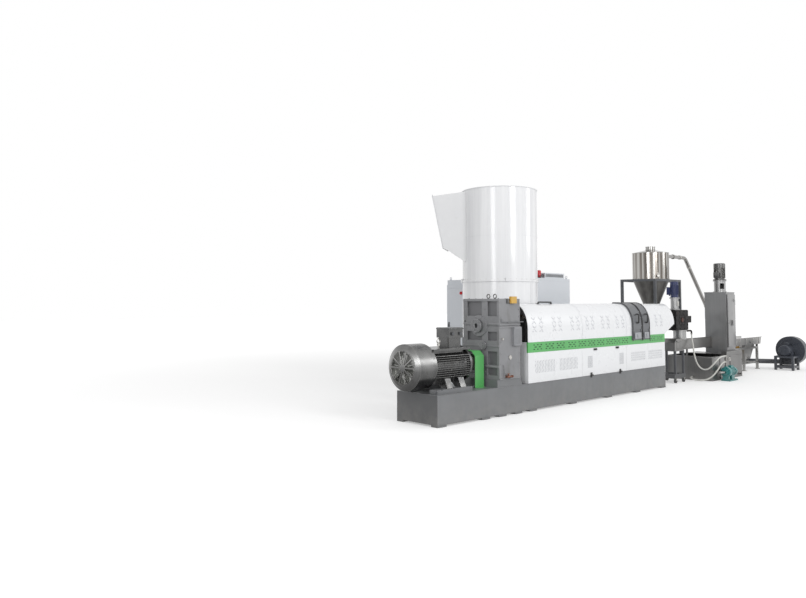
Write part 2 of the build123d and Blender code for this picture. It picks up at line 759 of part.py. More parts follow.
with BuildPart() as drum_flange:
    ring(floor(DRUM_X, DRUM_Y, DRUM_SPLIT), DRUM_RADIUS + FLANGE_WIDTH, DRUM_RADIUS - DRUM_WALL,
         FLANGE_HEIGHT)
    with BuildSketch(floor(DRUM_X, DRUM_Y, DRUM_SPLIT)) as clamps:
        with PolarLocations(DRUM_RADIUS + FLANGE_WIDTH + CLAMP_REACH / 2 - 5, CLAMP_COUNT,
                            start_angle=CLAMP_ANGLE):
            Rectangle(CLAMP_REACH + 10, CLAMP_WIDTH)
    extrude(clamps.sketch, amount=FLANGE_HEIGHT + CLAMP_RISE)
keep(drum_flange, "drum_flange")


def chute_plane():
    """Upright plane through the drum centre along the chute, sketch x outward."""
    turn = math.radians(CHUTE_ANGLE)
    outward = (math.cos(turn), math.sin(turn), 0)
    return Plane(origin=(LINE_X + DRUM_X, LINE_Y + DRUM_Y, 0), x_dir=outward,
                 z_dir=(math.sin(turn), -math.cos(turn), 0))


def chute_solid(shrink, reach):
    """Chute block between its side walls, from the drum centre out past the lip."""
    with BuildSketch(chute_plane()) as outline:
        with BuildLine():
            Polyline((0, CHUTE_ROOT_BOTTOM + shrink),
                     (DRUM_RADIUS - CHUTE_ROOT_INSET, CHUTE_ROOT_BOTTOM + shrink),
                     (CHUTE_LIP_BOTTOM[0] + reach, CHUTE_LIP_BOTTOM[1] + shrink),
                     (CHUTE_LIP_TOP[0] + reach, CHUTE_LIP_TOP[1] - shrink),
                     (DRUM_RADIUS - CHUTE_ROOT_INSET, CHUTE_ROOT_TOP - shrink),
                     (0, CHUTE_ROOT_TOP - shrink), close=True)
        make_face()
    return extrude(outline.sketch, amount=CHUTE_WIDTH / 2 - shrink, both=True, mode=Mode.PRIVATE)


def chute_collar():
    """Flange frame round the open lip of the chute."""
    slope_x = CHUTE_LIP_TOP[0] - CHUTE_LIP_BOTTOM[0]
    slope_z = CHUTE_LIP_TOP[1] - CHUTE_LIP_BOTTOM[1]
    span = math.hypot(slope_x, slope_z)
    along = (slope_x / span, slope_z / span)
    out = (along[1], -along[0])
    with BuildSketch(chute_plane()) as outline:
        with BuildLine():
            Polyline(*[(CHUTE_LIP_BOTTOM[0] + along[0] * run + out[0] * depth,
                        CHUTE_LIP_BOTTOM[1] + along[1] * run + out[1] * depth)
                       for run, depth in ((-COLLAR_RIM, 0), (span + COLLAR_RIM, 0),
                                          (span + COLLAR_RIM, -COLLAR_THICKNESS),
                                          (-COLLAR_RIM, -COLLAR_THICKNESS))],
                     close=True)
        make_face()
    frame = extrude(outline.sketch, amount=CHUTE_WIDTH / 2 + COLLAR_RIM, both=True, mode=Mode.PRIVATE)
    return frame - chute_solid(CHUTE_WALL, COLLAR_RIM)


with BuildPart() as drum_upper:
    ring(floor(DRUM_X, DRUM_Y, DRUM_SPLIT + FLANGE_HEIGHT), DRUM_RADIUS, DRUM_RADIUS - DRUM_WALL,
         DRUM_TOP - DRUM_SPLIT - FLANGE_HEIGHT)
    add(chute_solid(CHUTE_WALL, 0), mode=Mode.SUBTRACT)
keep(drum_upper, "drum_upper")

with BuildPart() as drum_lid:
    disc(floor(DRUM_X, DRUM_Y, DRUM_TOP), DRUM_RADIUS + LID_RIM, LID_HEIGHT)
keep(drum_lid, "drum_lid")

with BuildPart() as feed_chute:
    add(chute_solid(0, 0))
    add(chute_solid(CHUTE_WALL, COLLAR_RIM), mode=Mode.SUBTRACT)
    disc(floor(DRUM_X, DRUM_Y, DRUM_SPLIT), DRUM_RADIUS, DRUM_TOP - DRUM_SPLIT, Mode.SUBTRACT)
    add(chute_collar(), mode=Mode.ADD)
keep(feed_chute, "feed_chute")


def hood_profile(inset, start):
    """Half round hood section over the whole width."""
    half = BASE_WIDTH / 2
    with BuildSketch(end(start, half, 0)) as outline:
        with BuildLine():
            Line((-half + inset, HOOD_BOTTOM), (-half + inset, HOOD_KNEE))
            EllipticalCenterArc((-half + HOOD_SHOULDER, HOOD_KNEE), HOOD_SHOULDER - inset,
                                HOOD_TOP - HOOD_KNEE - inset, start_angle=90, arc_size=90)
            Line((-half + HOOD_SHOULDER, HOOD_TOP - inset), (half - HOOD_SHOULDER, HOOD_TOP - inset))
            EllipticalCenterArc((half - HOOD_SHOULDER, HOOD_KNEE), HOOD_SHOULDER - inset,
                                HOOD_TOP - HOOD_KNEE - inset, start_angle=0, arc_size=90)
            Polyline((half - inset, HOOD_KNEE), (half - inset, HOOD_BOTTOM), (-half + inset, HOOD_BOTTOM))
        make_face()
    return outline.sketch


hood_length = HOOD_END - HOOD_START
with BuildPart() as hood_cover:
    extrude(hood_profile(0, HOOD_START), amount=hood_length)
    extrude(hood_profile(HOOD_SHEET, HOOD_START), amount=hood_length - HOOD_SHEET, mode=Mode.SUBTRACT)
    disc(floor(DRUM_X, DRUM_Y, HOOD_BOTTOM), DRUM_RADIUS + DRUM_ROOM, HOOD_TOP - HOOD_BOTTOM, Mode.SUBTRACT)
    disc(end(HOOD_END - HOOD_SHEET, SCREW_Y, SCREW_Z), BARREL_RADIUS + DRUM_ROOM, HOOD_SHEET, Mode.SUBTRACT)
    with BuildSketch(front(HOOD_END, 0, HOOD_BOTTOM)) as nose_cut:
        with BuildLine():
            Polyline((0, 0), (0, HOOD_NOSE_RISE), (-HOOD_NOSE_CUT, 0), close=True)
        make_face()
    extrude(nose_cut.sketch, amount=-BASE_WIDTH, mode=Mode.SUBTRACT)
keep(hood_cover, "hood_cover")

with BuildPart() as degassing_covers:
    for start, length in zip(COVER_STARTS, COVER_LENGTHS):
        for foot_z in (GRIP_Z - GRIP_LENGTH / 2, GRIP_Z + GRIP_LENGTH / 2):
            disc(front(start + length / 2, GRIP_SEAT, foot_z), GRIP_BAR, GRIP_SEAT + COVER_RISE + GRIP_REACH)
        disc(floor(start + length / 2, -COVER_RISE - GRIP_REACH, GRIP_Z - GRIP_LENGTH / 2 - GRIP_BAR),
             GRIP_BAR,
             GRIP_LENGTH + 2 * GRIP_BAR)
        extrude(hood_profile(-COVER_RISE, start), amount=length)
        extrude(hood_profile(0, start), amount=length, mode=Mode.SUBTRACT)
        block(floor(start, COVER_BACK, HOOD_BOTTOM), length, BASE_WIDTH, HOOD_TOP, Mode.SUBTRACT)
        block(floor(start, -COVER_RISE, COVER_BOTTOM), length, COVER_RISE, HOOD_KNEE - COVER_BOTTOM)
        block(floor(start + COVER_STRAP, -COVER_RISE, COVER_BOTTOM + COVER_STRAP / 2),
              length - 2 * COVER_STRAP,
              COVER_POCKET, COVER_FRAME_TOP - COVER_BOTTOM - COVER_STRAP, Mode.SUBTRACT)
keep(degassing_covers, "degassing_covers")

with BuildPart() as vent_stripes:
    for back in (0, BASE_WIDTH - PANEL_DEPTH):
        block(floor(HOOD_START, back, STRIPE_BOTTOM), STRIPE_LENGTH, PANEL_DEPTH, HOOD_BOTTOM - STRIPE_BOTTOM)
keep(vent_stripes, "vent_stripes")

with BuildPart() as side_panels:
    panel_ends = (0,) + PANEL_JOINTS + (STRIPE_LENGTH,)
    for back in (0, BASE_WIDTH - PANEL_DEPTH):
        for first, last in zip(panel_ends, panel_ends[1:]):
            block(floor(HOOD_START + first + PANEL_GAP / 2, back, BASE_TOP), last - first - PANEL_GAP,
                  PANEL_DEPTH, STRIPE_BOTTOM - BASE_TOP)
    for start in (HOOD_START, HOOD_START + STRIPE_LENGTH - PANEL_DEPTH):
        block(floor(start, PANEL_DEPTH + PANEL_GAP / 2, BASE_TOP), PANEL_DEPTH,
              BASE_WIDTH - 2 * PANEL_DEPTH - PANEL_GAP, HOOD_BOTTOM - BASE_TOP)
keep(side_panels, "side_panels")

with BuildPart() as screw_barrel:
    disc(end(GEAR_START + GEAR_LENGTH, SCREW_Y, SCREW_Z), BARREL_RADIUS,
         BARREL_END - GEAR_START - GEAR_LENGTH)
    for start in (GEAR_START + GEAR_LENGTH, BARREL_END - BARREL_FLANGE_LENGTH):
        disc(end(start, SCREW_Y, SCREW_Z), BARREL_FLANGE_RADIUS, BARREL_FLANGE_LENGTH)
keep(screw_barrel, "screw_barrel")

with BuildPart() as feed_throat:
    block(floor(DRUM_X - THROAT_LENGTH / 2, SCREW_Y, SCREW_Z - THROAT_HEIGHT / 2), THROAT_LENGTH,
          DRUM_Y - DRUM_RADIUS + THROAT_SPREAD - SCREW_Y, THROAT_HEIGHT)
    disc(end(GEAR_START, SCREW_Y, SCREW_Z), BARREL_RADIUS + SEAT_GAP, BARREL_END, Mode.SUBTRACT)
    disc(floor(DRUM_X, DRUM_Y, 0), DRUM_RADIUS + SEAT_GAP, DRUM_TOP, Mode.SUBTRACT)
keep(feed_throat, "feed_throat")

with BuildPart() as die_head:
    block(floor(DIE_START, DIE_FRONT, DIE_BOTTOM), DIE_LENGTH, DIE_WIDTH, DIE_TOP - DIE_BOTTOM)
    chamfer(die_head.edges().filter_by(Axis.X), DIE_CHAMFER)
    disc(end(BARREL_END, SCREW_Y, SCREW_Z - ADAPTER_DROP), ADAPTER_RADIUS, ADAPTER_LENGTH)
    block(floor(DIE_START + DIE_LENGTH, DIE_BLOCK_FRONT, DIE_BLOCK_BOTTOM), DIE_BLOCK_LENGTH, DIE_BLOCK_WIDTH,
          DIE_BLOCK_TOP - DIE_BLOCK_BOTTOM)
keep(die_head, "die_head")

with BuildPart() as cutter_spacer:
    disc(floor(CUTTER_X, CUTTER_Y, DIE_TOP), CUTTER_SPACER_RADIUS, CUTTER_SPACER_TOP - DIE_TOP)
    for height in (DIE_TOP, CUTTER_SPACER_TOP - SPACER_FLANGE_HEIGHT):
        disc(floor(CUTTER_X, CUTTER_Y, height), SPACER_FLANGE_RADIUS, SPACER_FLANGE_HEIGHT)
keep(cutter_spacer, "cutter_spacer")


def ribbed(plane, radius, count, reach, width, height):
    """Round motor body with a row of cooling ribs about the plane's origin."""
    with BuildSketch(plane) as outline:
        Circle(radius)
        with PolarLocations(radius + reach / 2 - width, count):
            Rectangle(reach + 2 * width, width)
    extrude(outline.sketch, amount=height)


with BuildPart() as cutter_motor:
    disc(floor(CUTTER_X, CUTTER_Y, CUTTER_SPACER_TOP), CUTTER_MOTOR_RADIUS + CUTTER_RIB_REACH,
         SPACER_FLANGE_HEIGHT)
    disc(floor(CUTTER_X, CUTTER_Y, CUTTER_SPACER_TOP), CUTTER_MOTOR_RADIUS,
         CUTTER_MOTOR_TOP - CUTTER_SPACER_TOP)
    ribbed(floor(CUTTER_X, CUTTER_Y, CUTTER_SPACER_TOP + CUTTER_RIB_START), CUTTER_MOTOR_RADIUS,
           CUTTER_RIB_COUNT, CUTTER_RIB_REACH, CUTTER_RIB_WIDTH, CUTTER_RIB_HEIGHT)
    block(floor(CUTTER_X - CUTTER_BOX_LENGTH / 2, CUTTER_Y + CUTTER_MOTOR_RADIUS - CUTTER_RIB_REACH,
                CUTTER_SPACER_TOP + CUTTER_RIB_START), CUTTER_BOX_LENGTH, CUTTER_BOX_REACH, CUTTER_BOX_HEIGHT)
    chamfer(cutter_motor.edges().group_by(Axis.Z)[-1], CUTTER_RIB_REACH)
keep(cutter_motor, "cutter_motor")

with BuildPart() as water_ring:
    disc(floor(RING_X, RING_Y, RING_BOTTOM), RING_RADIUS - RING_RIM, DIE_BOTTOM - RING_BOTTOM)
    for height in (RING_BOTTOM, DIE_BOTTOM - RING_RIM_HEIGHT):
        disc(floor(RING_X, RING_Y, height), RING_RADIUS, RING_RIM_HEIGHT)
keep(water_ring, "water_ring")

with BuildPart() as pelletizer_stand:
    block(floor(TROLLEY_START, TROLLEY_FRONT, TROLLEY_BOTTOM), TROLLEY_LENGTH, TROLLEY_WIDTH, TROLLEY_RISE)
    block(floor(TROLLEY_START + TROLLEY_WALL, TROLLEY_FRONT + TROLLEY_WALL, TROLLEY_BOTTOM),
          TROLLEY_LENGTH - 2 * TROLLEY_WALL, TROLLEY_WIDTH - 2 * TROLLEY_WALL, TROLLEY_RISE, Mode.SUBTRACT)
    for leg_x in (BOX_X, BOX_X + BOX_RUN - UPRIGHT_TUBE):
        for leg_y in (TROLLEY_FRONT, TROLLEY_FRONT + TROLLEY_WIDTH - UPRIGHT_TUBE):
            block(floor(leg_x, leg_y, TROLLEY_BOTTOM), UPRIGHT_TUBE, UPRIGHT_TUBE, BOX_Z - TROLLEY_BOTTOM)
            block(floor(leg_x, leg_y + (UPRIGHT_TUBE - CASTOR_WIDTH) / 2, CASTOR_RADIUS), UPRIGHT_TUBE,
                  CASTOR_WIDTH, TROLLEY_BOTTOM - CASTOR_RADIUS)
            disc(front(leg_x + UPRIGHT_TUBE / 2, leg_y + (UPRIGHT_TUBE - CASTOR_WIDTH) / 2, CASTOR_RADIUS),
                 CASTOR_RADIUS, -CASTOR_WIDTH)
keep(pelletizer_stand, "pelletizer_stand")

with BuildPart() as discharge_box:
    with BuildSketch(front(BOX_X, BOX_Y, BOX_Z)) as box_profile:
        with BuildLine():
            Polyline((0, 0), (BOX_RUN, 0), (BOX_RUN, BOX_RISE), (BOX_SLOPE, BOX_RISE),
                     (0, BOX_RISE - BOX_SLOPE), close=True)
        make_face()
    extrude(box_profile.sketch, amount=-BOX_DEPTH)
    disc(floor(RING_X, RING_Y, RING_BOTTOM), RING_RADIUS + SEAT_GAP, DIE_BOTTOM - RING_BOTTOM, Mode.SUBTRACT)
keep(discharge_box, "discharge_box")

with BuildPart() as pellet_trough:
    trough_length = TOWER_START - TROUGH_START
    block(floor(TROUGH_START, TROUGH_FRONT, TROUGH_BOTTOM), trough_length, TROUGH_WIDTH,
          TROUGH_TOP - TROUGH_BOTTOM)
    block(floor(TOWER_START - TROUGH_FLANGE_LENGTH, TROUGH_FRONT - TROUGH_FLANGE,
                TROUGH_BOTTOM - TROUGH_FLANGE),
          TROUGH_FLANGE_LENGTH, TROUGH_WIDTH + 2 * TROUGH_FLANGE, TROUGH_TOP - TROUGH_BOTTOM + TROUGH_FLANGE)
    block(floor(TROUGH_START + TROUGH_SHEET, TROUGH_FRONT + TROUGH_SHEET, TROUGH_BOTTOM + TROUGH_SHEET),
          trough_length - 2 * TROUGH_SHEET, TROUGH_WIDTH - 2 * TROUGH_SHEET, TROUGH_TOP, Mode.SUBTRACT)
    block(floor(TANK_START + TANK_SHEET, TROUGH_FRONT + (TROUGH_WIDTH - TROUGH_LEG) / 2, TANK_HEIGHT),
          TROUGH_LEG,
          TROUGH_LEG, TROUGH_BOTTOM - TANK_HEIGHT)
keep(pellet_trough, "pellet_trough")

with BuildPart() as water_tank:
    block(floor(TANK_START, TANK_FRONT, 0), TANK_LENGTH, TANK_WIDTH, TANK_HEIGHT)
    block(floor(TANK_START + TANK_SHEET, TANK_FRONT + TANK_SHEET, TANK_SHEET), TANK_LENGTH - 2 * TANK_SHEET,
          TANK_WIDTH - 2 * TANK_SHEET, TANK_HEIGHT - 2 * TANK_SHEET, Mode.SUBTRACT)
    block(floor(TANK_START + TANK_RIM, TANK_FRONT + TANK_RIM, TANK_HEIGHT - TANK_SHEET),
          DECK_START - TANK_START - TANK_RIM, TANK_WIDTH - 2 * TANK_RIM, TANK_SHEET, Mode.SUBTRACT)
    disc(end(TANK_START - RETURN_LENGTH, RETURN_Y, RETURN_Z), HOSE_RADIUS + RETURN_WALL, RETURN_LENGTH)
    block(floor(OVERFLOW_START, TANK_FRONT, TANK_HEIGHT - TANK_SHEET),
          TANK_START + TANK_LENGTH - OVERFLOW_START,
          OVERFLOW_DEPTH, OVERFLOW_HEIGHT + TANK_SHEET)
keep(water_tank, "water_tank")

with BuildPart() as tower_body:
    block(floor(TOWER_START, TOWER_FRONT, TANK_HEIGHT), TOWER_LENGTH, TOWER_WIDTH, TOWER_TOP - TANK_HEIGHT)
    block(floor(TOWER_START - TOWER_CAP_RIM, TOWER_FRONT - TOWER_CAP_RIM, TOWER_TOP - TOWER_CAP),
          TOWER_LENGTH + 2 * TOWER_CAP_RIM, TOWER_WIDTH + 2 * TOWER_CAP_RIM, TOWER_CAP)
keep(tower_body, "tower_body")

door_back = TOWER_FRONT - DOOR_GAP
hinge_x = TOWER_START + TOWER_LENGTH - DOOR_MARGIN + HINGE_OFFSET
hinge_y = door_back - DOOR_THICKNESS / 2
with BuildPart() as tower_door:
    block(floor(TOWER_START + DOOR_MARGIN, door_back - DOOR_THICKNESS, DOOR_BOTTOM),
          TOWER_LENGTH - 2 * DOOR_MARGIN, DOOR_THICKNESS, DOOR_TOP - DOOR_BOTTOM)
    for height in HINGE_HEIGHTS:
        disc(floor(hinge_x, hinge_y, height), KNUCKLE_RADIUS, KNUCKLE_LENGTH)
        block(floor(hinge_x - HINGE_OFFSET, hinge_y - DOOR_LEAF / 2, height), HINGE_OFFSET, DOOR_LEAF,
              KNUCKLE_LENGTH)
    for height in HINGE_HEIGHTS:
        disc(floor(hinge_x, hinge_y, height), HINGE_PIN_RADIUS + HINGE_PLAY, KNUCKLE_LENGTH, Mode.SUBTRACT)
    block(floor(TOWER_START + DOOR_MARGIN + HANDLE_INSET, door_back - DOOR_THICKNESS - HANDLE_REACH,
                HANDLE_BOTTOM),
          HANDLE_LENGTH, HANDLE_REACH, HANDLE_HEIGHT)
keep(tower_door, "tower_door")

with BuildPart() as tower_hinges:
    for height in HINGE_HEIGHTS:
        disc(floor(hinge_x, hinge_y, height - LEAF_DROP), HINGE_PIN_RADIUS, KNUCKLE_LENGTH + LEAF_DROP)
        block(floor(hinge_x - LEAF_HALF, hinge_y - LEAF_HALF, height - LEAF_DROP), 2 * LEAF_HALF,
              TOWER_FRONT - hinge_y + LEAF_HALF, LEAF_HEIGHT)
keep(tower_hinges, "tower_hinges")

with BuildPart() as motor_stool:
    ring(floor(STOOL_X, STOOL_Y, TOWER_TOP), STOOL_RADIUS, STOOL_RADIUS - STOOL_WALL, STOOL_HEIGHT)
    for height in (TOWER_TOP, TOWER_TOP + STOOL_HEIGHT - STOOL_RIM_HEIGHT):
        ring(floor(STOOL_X, STOOL_Y, height), STOOL_RADIUS + STOOL_RIM, STOOL_RADIUS - STOOL_WALL,
             STOOL_RIM_HEIGHT)
    turn = math.radians(STOOL_WINDOW_ANGLE)
    with BuildSketch(Plane(origin=(LINE_X + STOOL_X, LINE_Y + STOOL_Y, TOWER_TOP + STOOL_WINDOW_RISE),
                           x_dir=(-math.sin(turn), math.cos(turn), 0),
                           z_dir=(math.cos(turn), math.sin(turn), 0))) as window:
        Rectangle(STOOL_WINDOW_WIDTH, STOOL_WINDOW_HEIGHT, align=(Align.CENTER, Align.MIN))
    extrude(window.sketch, amount=STOOL_RADIUS + STOOL_RIM, mode=Mode.SUBTRACT)
keep(motor_stool, "motor_stool")

with BuildPart() as tower_motor:
    motor_foot = TOWER_TOP + STOOL_HEIGHT
    disc(floor(STOOL_X, STOOL_Y, motor_foot), STOOL_RADIUS + STOOL_RIM, TOWER_MOTOR_PLATE)
    disc(floor(STOOL_X, STOOL_Y, motor_foot), TOWER_MOTOR_RADIUS, TOWER_MOTOR_HEIGHT)
    ribbed(floor(STOOL_X, STOOL_Y, motor_foot + TOWER_FIN_START), TOWER_MOTOR_RADIUS, TOWER_FIN_COUNT,
           TOWER_FIN_REACH, TOWER_FIN_WIDTH, TOWER_FIN_HEIGHT)
    disc(floor(STOOL_X, STOOL_Y, motor_foot + TOWER_FIN_START + TOWER_FIN_HEIGHT), TOWER_CAP_RADIUS,
         TOWER_MOTOR_HEIGHT - TOWER_FIN_START - TOWER_FIN_HEIGHT)
    chamfer(tower_motor.edges().group_by(Axis.Z)[-1], TOWER_FIN_REACH)
    block(floor(STOOL_X - TOWER_MOTOR_RADIUS - TOWER_BOX_REACH, STOOL_Y - TOWER_BOX_LENGTH / 2,
                motor_foot + TOWER_FIN_START), TOWER_BOX_REACH + TOWER_BOX_LENGTH / 2, TOWER_BOX_LENGTH,
          TOWER_BOX_HEIGHT)
keep(tower_motor, "tower_motor")

with BuildPart() as pump:
    disc(end(PUMP_X - VOLUTE_LENGTH / 2, PUMP_Y, PUMP_AXIS_Z), PUMP_RADIUS, VOLUTE_LENGTH)
    disc(end(PUMP_X - VOLUTE_LENGTH / 2 - PUMP_NOSE_LENGTH, PUMP_Y, PUMP_AXIS_Z), PUMP_NOSE_RADIUS,
         PUMP_NOSE_LENGTH)
    ribbed(end(PUMP_X + VOLUTE_LENGTH / 2, PUMP_Y, PUMP_AXIS_Z), PUMP_MOTOR_RADIUS, PUMP_RIB_COUNT,
           PUMP_RIB_REACH,
           PUMP_RIB_WIDTH, PUMP_MOTOR_LENGTH - PUMP_CAP_LENGTH)
    disc(end(PUMP_X + VOLUTE_LENGTH / 2 + PUMP_MOTOR_LENGTH - PUMP_CAP_LENGTH, PUMP_Y, PUMP_AXIS_Z),
         PUMP_MOTOR_RADIUS + PUMP_RIB_REACH, PUMP_CAP_LENGTH)
    block(floor(PUMP_X - VOLUTE_LENGTH / 2, PUMP_Y - PUMP_BED_WIDTH / 2, 0),
          VOLUTE_LENGTH + PUMP_MOTOR_LENGTH,
          PUMP_BED_WIDTH, PUMP_BED_HEIGHT)
    block(floor(PUMP_X - VOLUTE_LENGTH / 2, PUMP_Y - PUMP_NOSE_RADIUS, PUMP_BED_HEIGHT), VOLUTE_LENGTH / 2,
          2 * PUMP_NOSE_RADIUS, PUMP_AXIS_Z - PUMP_BED_HEIGHT)
    block(floor(PUMP_X + PUMP_FOOT_INSET, PUMP_Y - PUMP_NOSE_RADIUS, PUMP_BED_HEIGHT), PUMP_FOOT_LENGTH,
          2 * PUMP_NOSE_RADIUS, PUMP_AXIS_Z - PUMP_BED_HEIGHT)
    block(floor(PUMP_X + PUMP_FOOT_INSET, PUMP_Y - PUMP_BOX_WIDTH / 2, PUMP_AXIS_Z), PUMP_FOOT_LENGTH,
          PUMP_BOX_WIDTH, PUMP_MOTOR_RADIUS + PUMP_BOX_HEIGHT)
    disc(floor(PUMP_X, PUMP_Y, PUMP_AXIS_Z), RISER_FLANGE, PUMP_RADIUS + RISER_FLANGE_HEIGHT)
keep(pump, "pump")

with BuildPart() as pump_pipes:
    riser_start = PUMP_AXIS_Z + PUMP_RADIUS + RISER_FLANGE_HEIGHT
    disc(floor(PUMP_X, PUMP_Y, riser_start), RISER_FLANGE, RISER_FLANGE_HEIGHT)
    disc(floor(PUMP_X, PUMP_Y, riser_start), RISER_RADIUS, RISER_HIGH_Z - riser_start + RISER_RADIUS)
    disc(floor(PUMP_X, PUMP_Y, VALVE_Z - VALVE_HEIGHT / 2), VALVE_RADIUS, VALVE_HEIGHT)
    for height in (RISER_HIGH_Z, RISER_LOW_Z):
        disc(end(PUMP_X - RISER_NIPPLE, PUMP_Y, height), HOSE_RADIUS + INLET_WALL, RISER_NIPPLE)
    with BuildLine() as suction_path:
        FilletPolyline((LINE_X + PUMP_X - VOLUTE_LENGTH / 2 - PUMP_NOSE_LENGTH, LINE_Y + PUMP_Y, PUMP_AXIS_Z),
                       (LINE_X + SUCTION_X, LINE_Y + PUMP_Y, PUMP_AXIS_Z),
                       (LINE_X + SUCTION_X, LINE_Y + TANK_FRONT, PUMP_AXIS_Z), radius=SUCTION_BEND)
    with BuildSketch(Plane(origin=suction_path.line @ 0, z_dir=suction_path.line % 0)) as suction_section:
        Circle(SUCTION_RADIUS)
    sweep(suction_section.sketch, path=suction_path.line)
keep(pump_pipes, "pump_pipes")

with BuildPart() as water_inlet:
    with BuildLine() as inlet_path:
        FilletPolyline((LINE_X + RING_X, LINE_Y + INLET_Y, INLET_Z),
                       (LINE_X + INLET_X, LINE_Y + INLET_Y, INLET_Z),
                       (LINE_X + INLET_X, LINE_Y + INLET_Y, INLET_EXIT_Z), radius=INLET_BEND)
    with BuildSketch(Plane(origin=inlet_path.line @ 0, z_dir=inlet_path.line % 0)) as inlet_section:
        Circle(HOSE_RADIUS + INLET_WALL)
    sweep(inlet_section.sketch, path=inlet_path.line)
    disc(floor(RING_X, RING_Y, RING_BOTTOM), RING_RADIUS + SEAT_GAP, DIE_BOTTOM - RING_BOTTOM, Mode.SUBTRACT)
keep(water_inlet, "water_inlet")


def hose(points, label):
    """Hose along straight runs joined by arcs as large as the runs allow."""
    corners = [Vector(LINE_X + TANK_START + x, LINE_Y + y, z) for x, y, z in points]
    runs = [after - before for before, after in zip(corners, corners[1:])]
    radii = []
    for before, after in zip(runs, runs[1:]):
        turn = math.radians(before.get_angle(after))
        radii.append(0.45 * min(before.length, after.length) / math.tan(turn / 2))
    with BuildPart() as tube:
        with BuildLine() as route:
            FilletPolyline(*corners, radius=radii)
        with BuildSketch(Plane(origin=route.line @ 0, z_dir=route.line % 0)) as section:
            Circle(HOSE_RADIUS)
        sweep(section.sketch, path=route.line)
    keep(tube, label)
    length = sum(edge.length for edge in route.edges())
    print(label, "length", round(length), "volume ratio",
          round(tube.part.volume / (math.pi * HOSE_RADIUS ** 2 * length), 4),
          "radii", [round(radius) for radius in radii])


hose(FEED_ROUTE, "feed_hose")
hose(RETURN_ROUTE, "return_hose")

with BuildPart() as tower_outlet:
    with BuildSketch(front(TOWER_START + TOWER_LENGTH, OUTLET_FRONT, 0)) as outlet_profile:
        with BuildLine():
            Polyline((0, OUTLET_BOTTOM), (0, OUTLET_TOP), (OUTLET_REACH, OUTLET_LIP),
                     (OUTLET_REACH, SIEVE_BOTTOM + SIEVE_SHEET + SEAT_GAP),
                     (SIEVE_START + SIEVE_SHEET + SEAT_GAP - TOWER_START - TOWER_LENGTH,
                      SIEVE_BOTTOM + SIEVE_SHEET + SEAT_GAP),
                     (SIEVE_START + SIEVE_SHEET + SEAT_GAP - TOWER_START - TOWER_LENGTH,
                      OUTLET_BOTTOM), close=True)
        make_face()
    extrude(outlet_profile.sketch, amount=-OUTLET_WIDTH)
keep(tower_outlet, "tower_outlet")

leg_places = [SIEVE_START + start for start in LEG_STARTS]
leg_sides = (SIEVE_FRONT, SIEVE_FRONT + SIEVE_WIDTH - LEG_TUBE)
with BuildPart() as sieve_tray:
    with BuildSketch(front(SIEVE_START, SIEVE_FRONT, SIEVE_BOTTOM)) as tray_profile:
        with BuildLine():
            Polyline((0, 0), (SIEVE_LENGTH - SIEVE_SLANT, 0), (SIEVE_LENGTH, SIEVE_TOP - SIEVE_BOTTOM),
                     (0, SIEVE_TOP - SIEVE_BOTTOM), close=True)
        make_face()
    extrude(tray_profile.sketch, amount=-SIEVE_WIDTH)
    block(floor(SIEVE_START + SIEVE_SHEET, SIEVE_FRONT + SIEVE_SHEET, SIEVE_BOTTOM + SIEVE_SHEET),
          SIEVE_LENGTH, SIEVE_WIDTH - 2 * SIEVE_SHEET, SIEVE_TOP, Mode.SUBTRACT)
    funnel_start = leg_places[1] + LEG_TUBE + FUNNEL_ROOM
    funnel_length = leg_places[2] - funnel_start - FUNNEL_ROOM
    with BuildSketch(front(funnel_start, SIEVE_FRONT + FUNNEL_ROOM + LEG_TUBE,
                           SIEVE_BOTTOM)) as funnel_profile:
        with BuildLine():
            Polyline((0, 0), (funnel_length, 0), (funnel_length / 2 + FUNNEL_MOUTH, -FUNNEL_DROP),
                     (funnel_length / 2 - FUNNEL_MOUTH, -FUNNEL_DROP), close=True)
        make_face()
    extrude(funnel_profile.sketch, amount=-(SIEVE_WIDTH - 2 * (LEG_TUBE + FUNNEL_ROOM)))
keep(sieve_tray, "sieve_tray")

with BuildPart() as sieve_frame:
    for leg_x in leg_places:
        for leg_y in leg_sides:
            block(floor(leg_x, leg_y, 0), LEG_TUBE, LEG_TUBE, SIEVE_FRAME_TOP)
            disc(floor(leg_x + LEG_TUBE / 2, leg_y + LEG_TUBE / 2, 0), SIEVE_FOOT_RADIUS + LEG_TUBE / 2,
                 SIEVE_FOOT_HEIGHT)
            disc(floor(leg_x + LEG_TUBE / 2, leg_y + LEG_TUBE / 2, SIEVE_FRAME_TOP), BUFFER_RADIUS,
                 SIEVE_BOTTOM - SIEVE_FRAME_TOP)
        block(floor(leg_x, SIEVE_FRONT, SIEVE_FRAME_TOP - LEG_TUBE), LEG_TUBE, SIEVE_WIDTH, LEG_TUBE)
    for leg_y in leg_sides:
        block(floor(leg_places[0], leg_y, SIEVE_FRAME_TOP - LEG_TUBE), leg_places[-1] - leg_places[0],
              LEG_TUBE,
              LEG_TUBE)
keep(sieve_frame, "sieve_frame")

with BuildPart() as sieve_vibrator:
    vibrator_x = SIEVE_START + VIBRATOR_X
    block(floor(vibrator_x, VIBRATOR_Y - VIBRATOR_RADIUS, SIEVE_BOTTOM - VIBRATOR_PLATE), VIBRATOR_LENGTH,
          2 * VIBRATOR_RADIUS, VIBRATOR_PLATE)
    block(floor(vibrator_x + VIBRATOR_PLATE, VIBRATOR_Y - VIBRATOR_RADIUS, VIBRATOR_Z), VIBRATOR_LENGTH
          - 2 * VIBRATOR_PLATE, 2 * VIBRATOR_RADIUS, SIEVE_BOTTOM - VIBRATOR_PLATE - VIBRATOR_Z)
    disc(end(vibrator_x, VIBRATOR_Y, VIBRATOR_Z), VIBRATOR_RADIUS, VIBRATOR_LENGTH)
keep(sieve_vibrator, "sieve_vibrator")

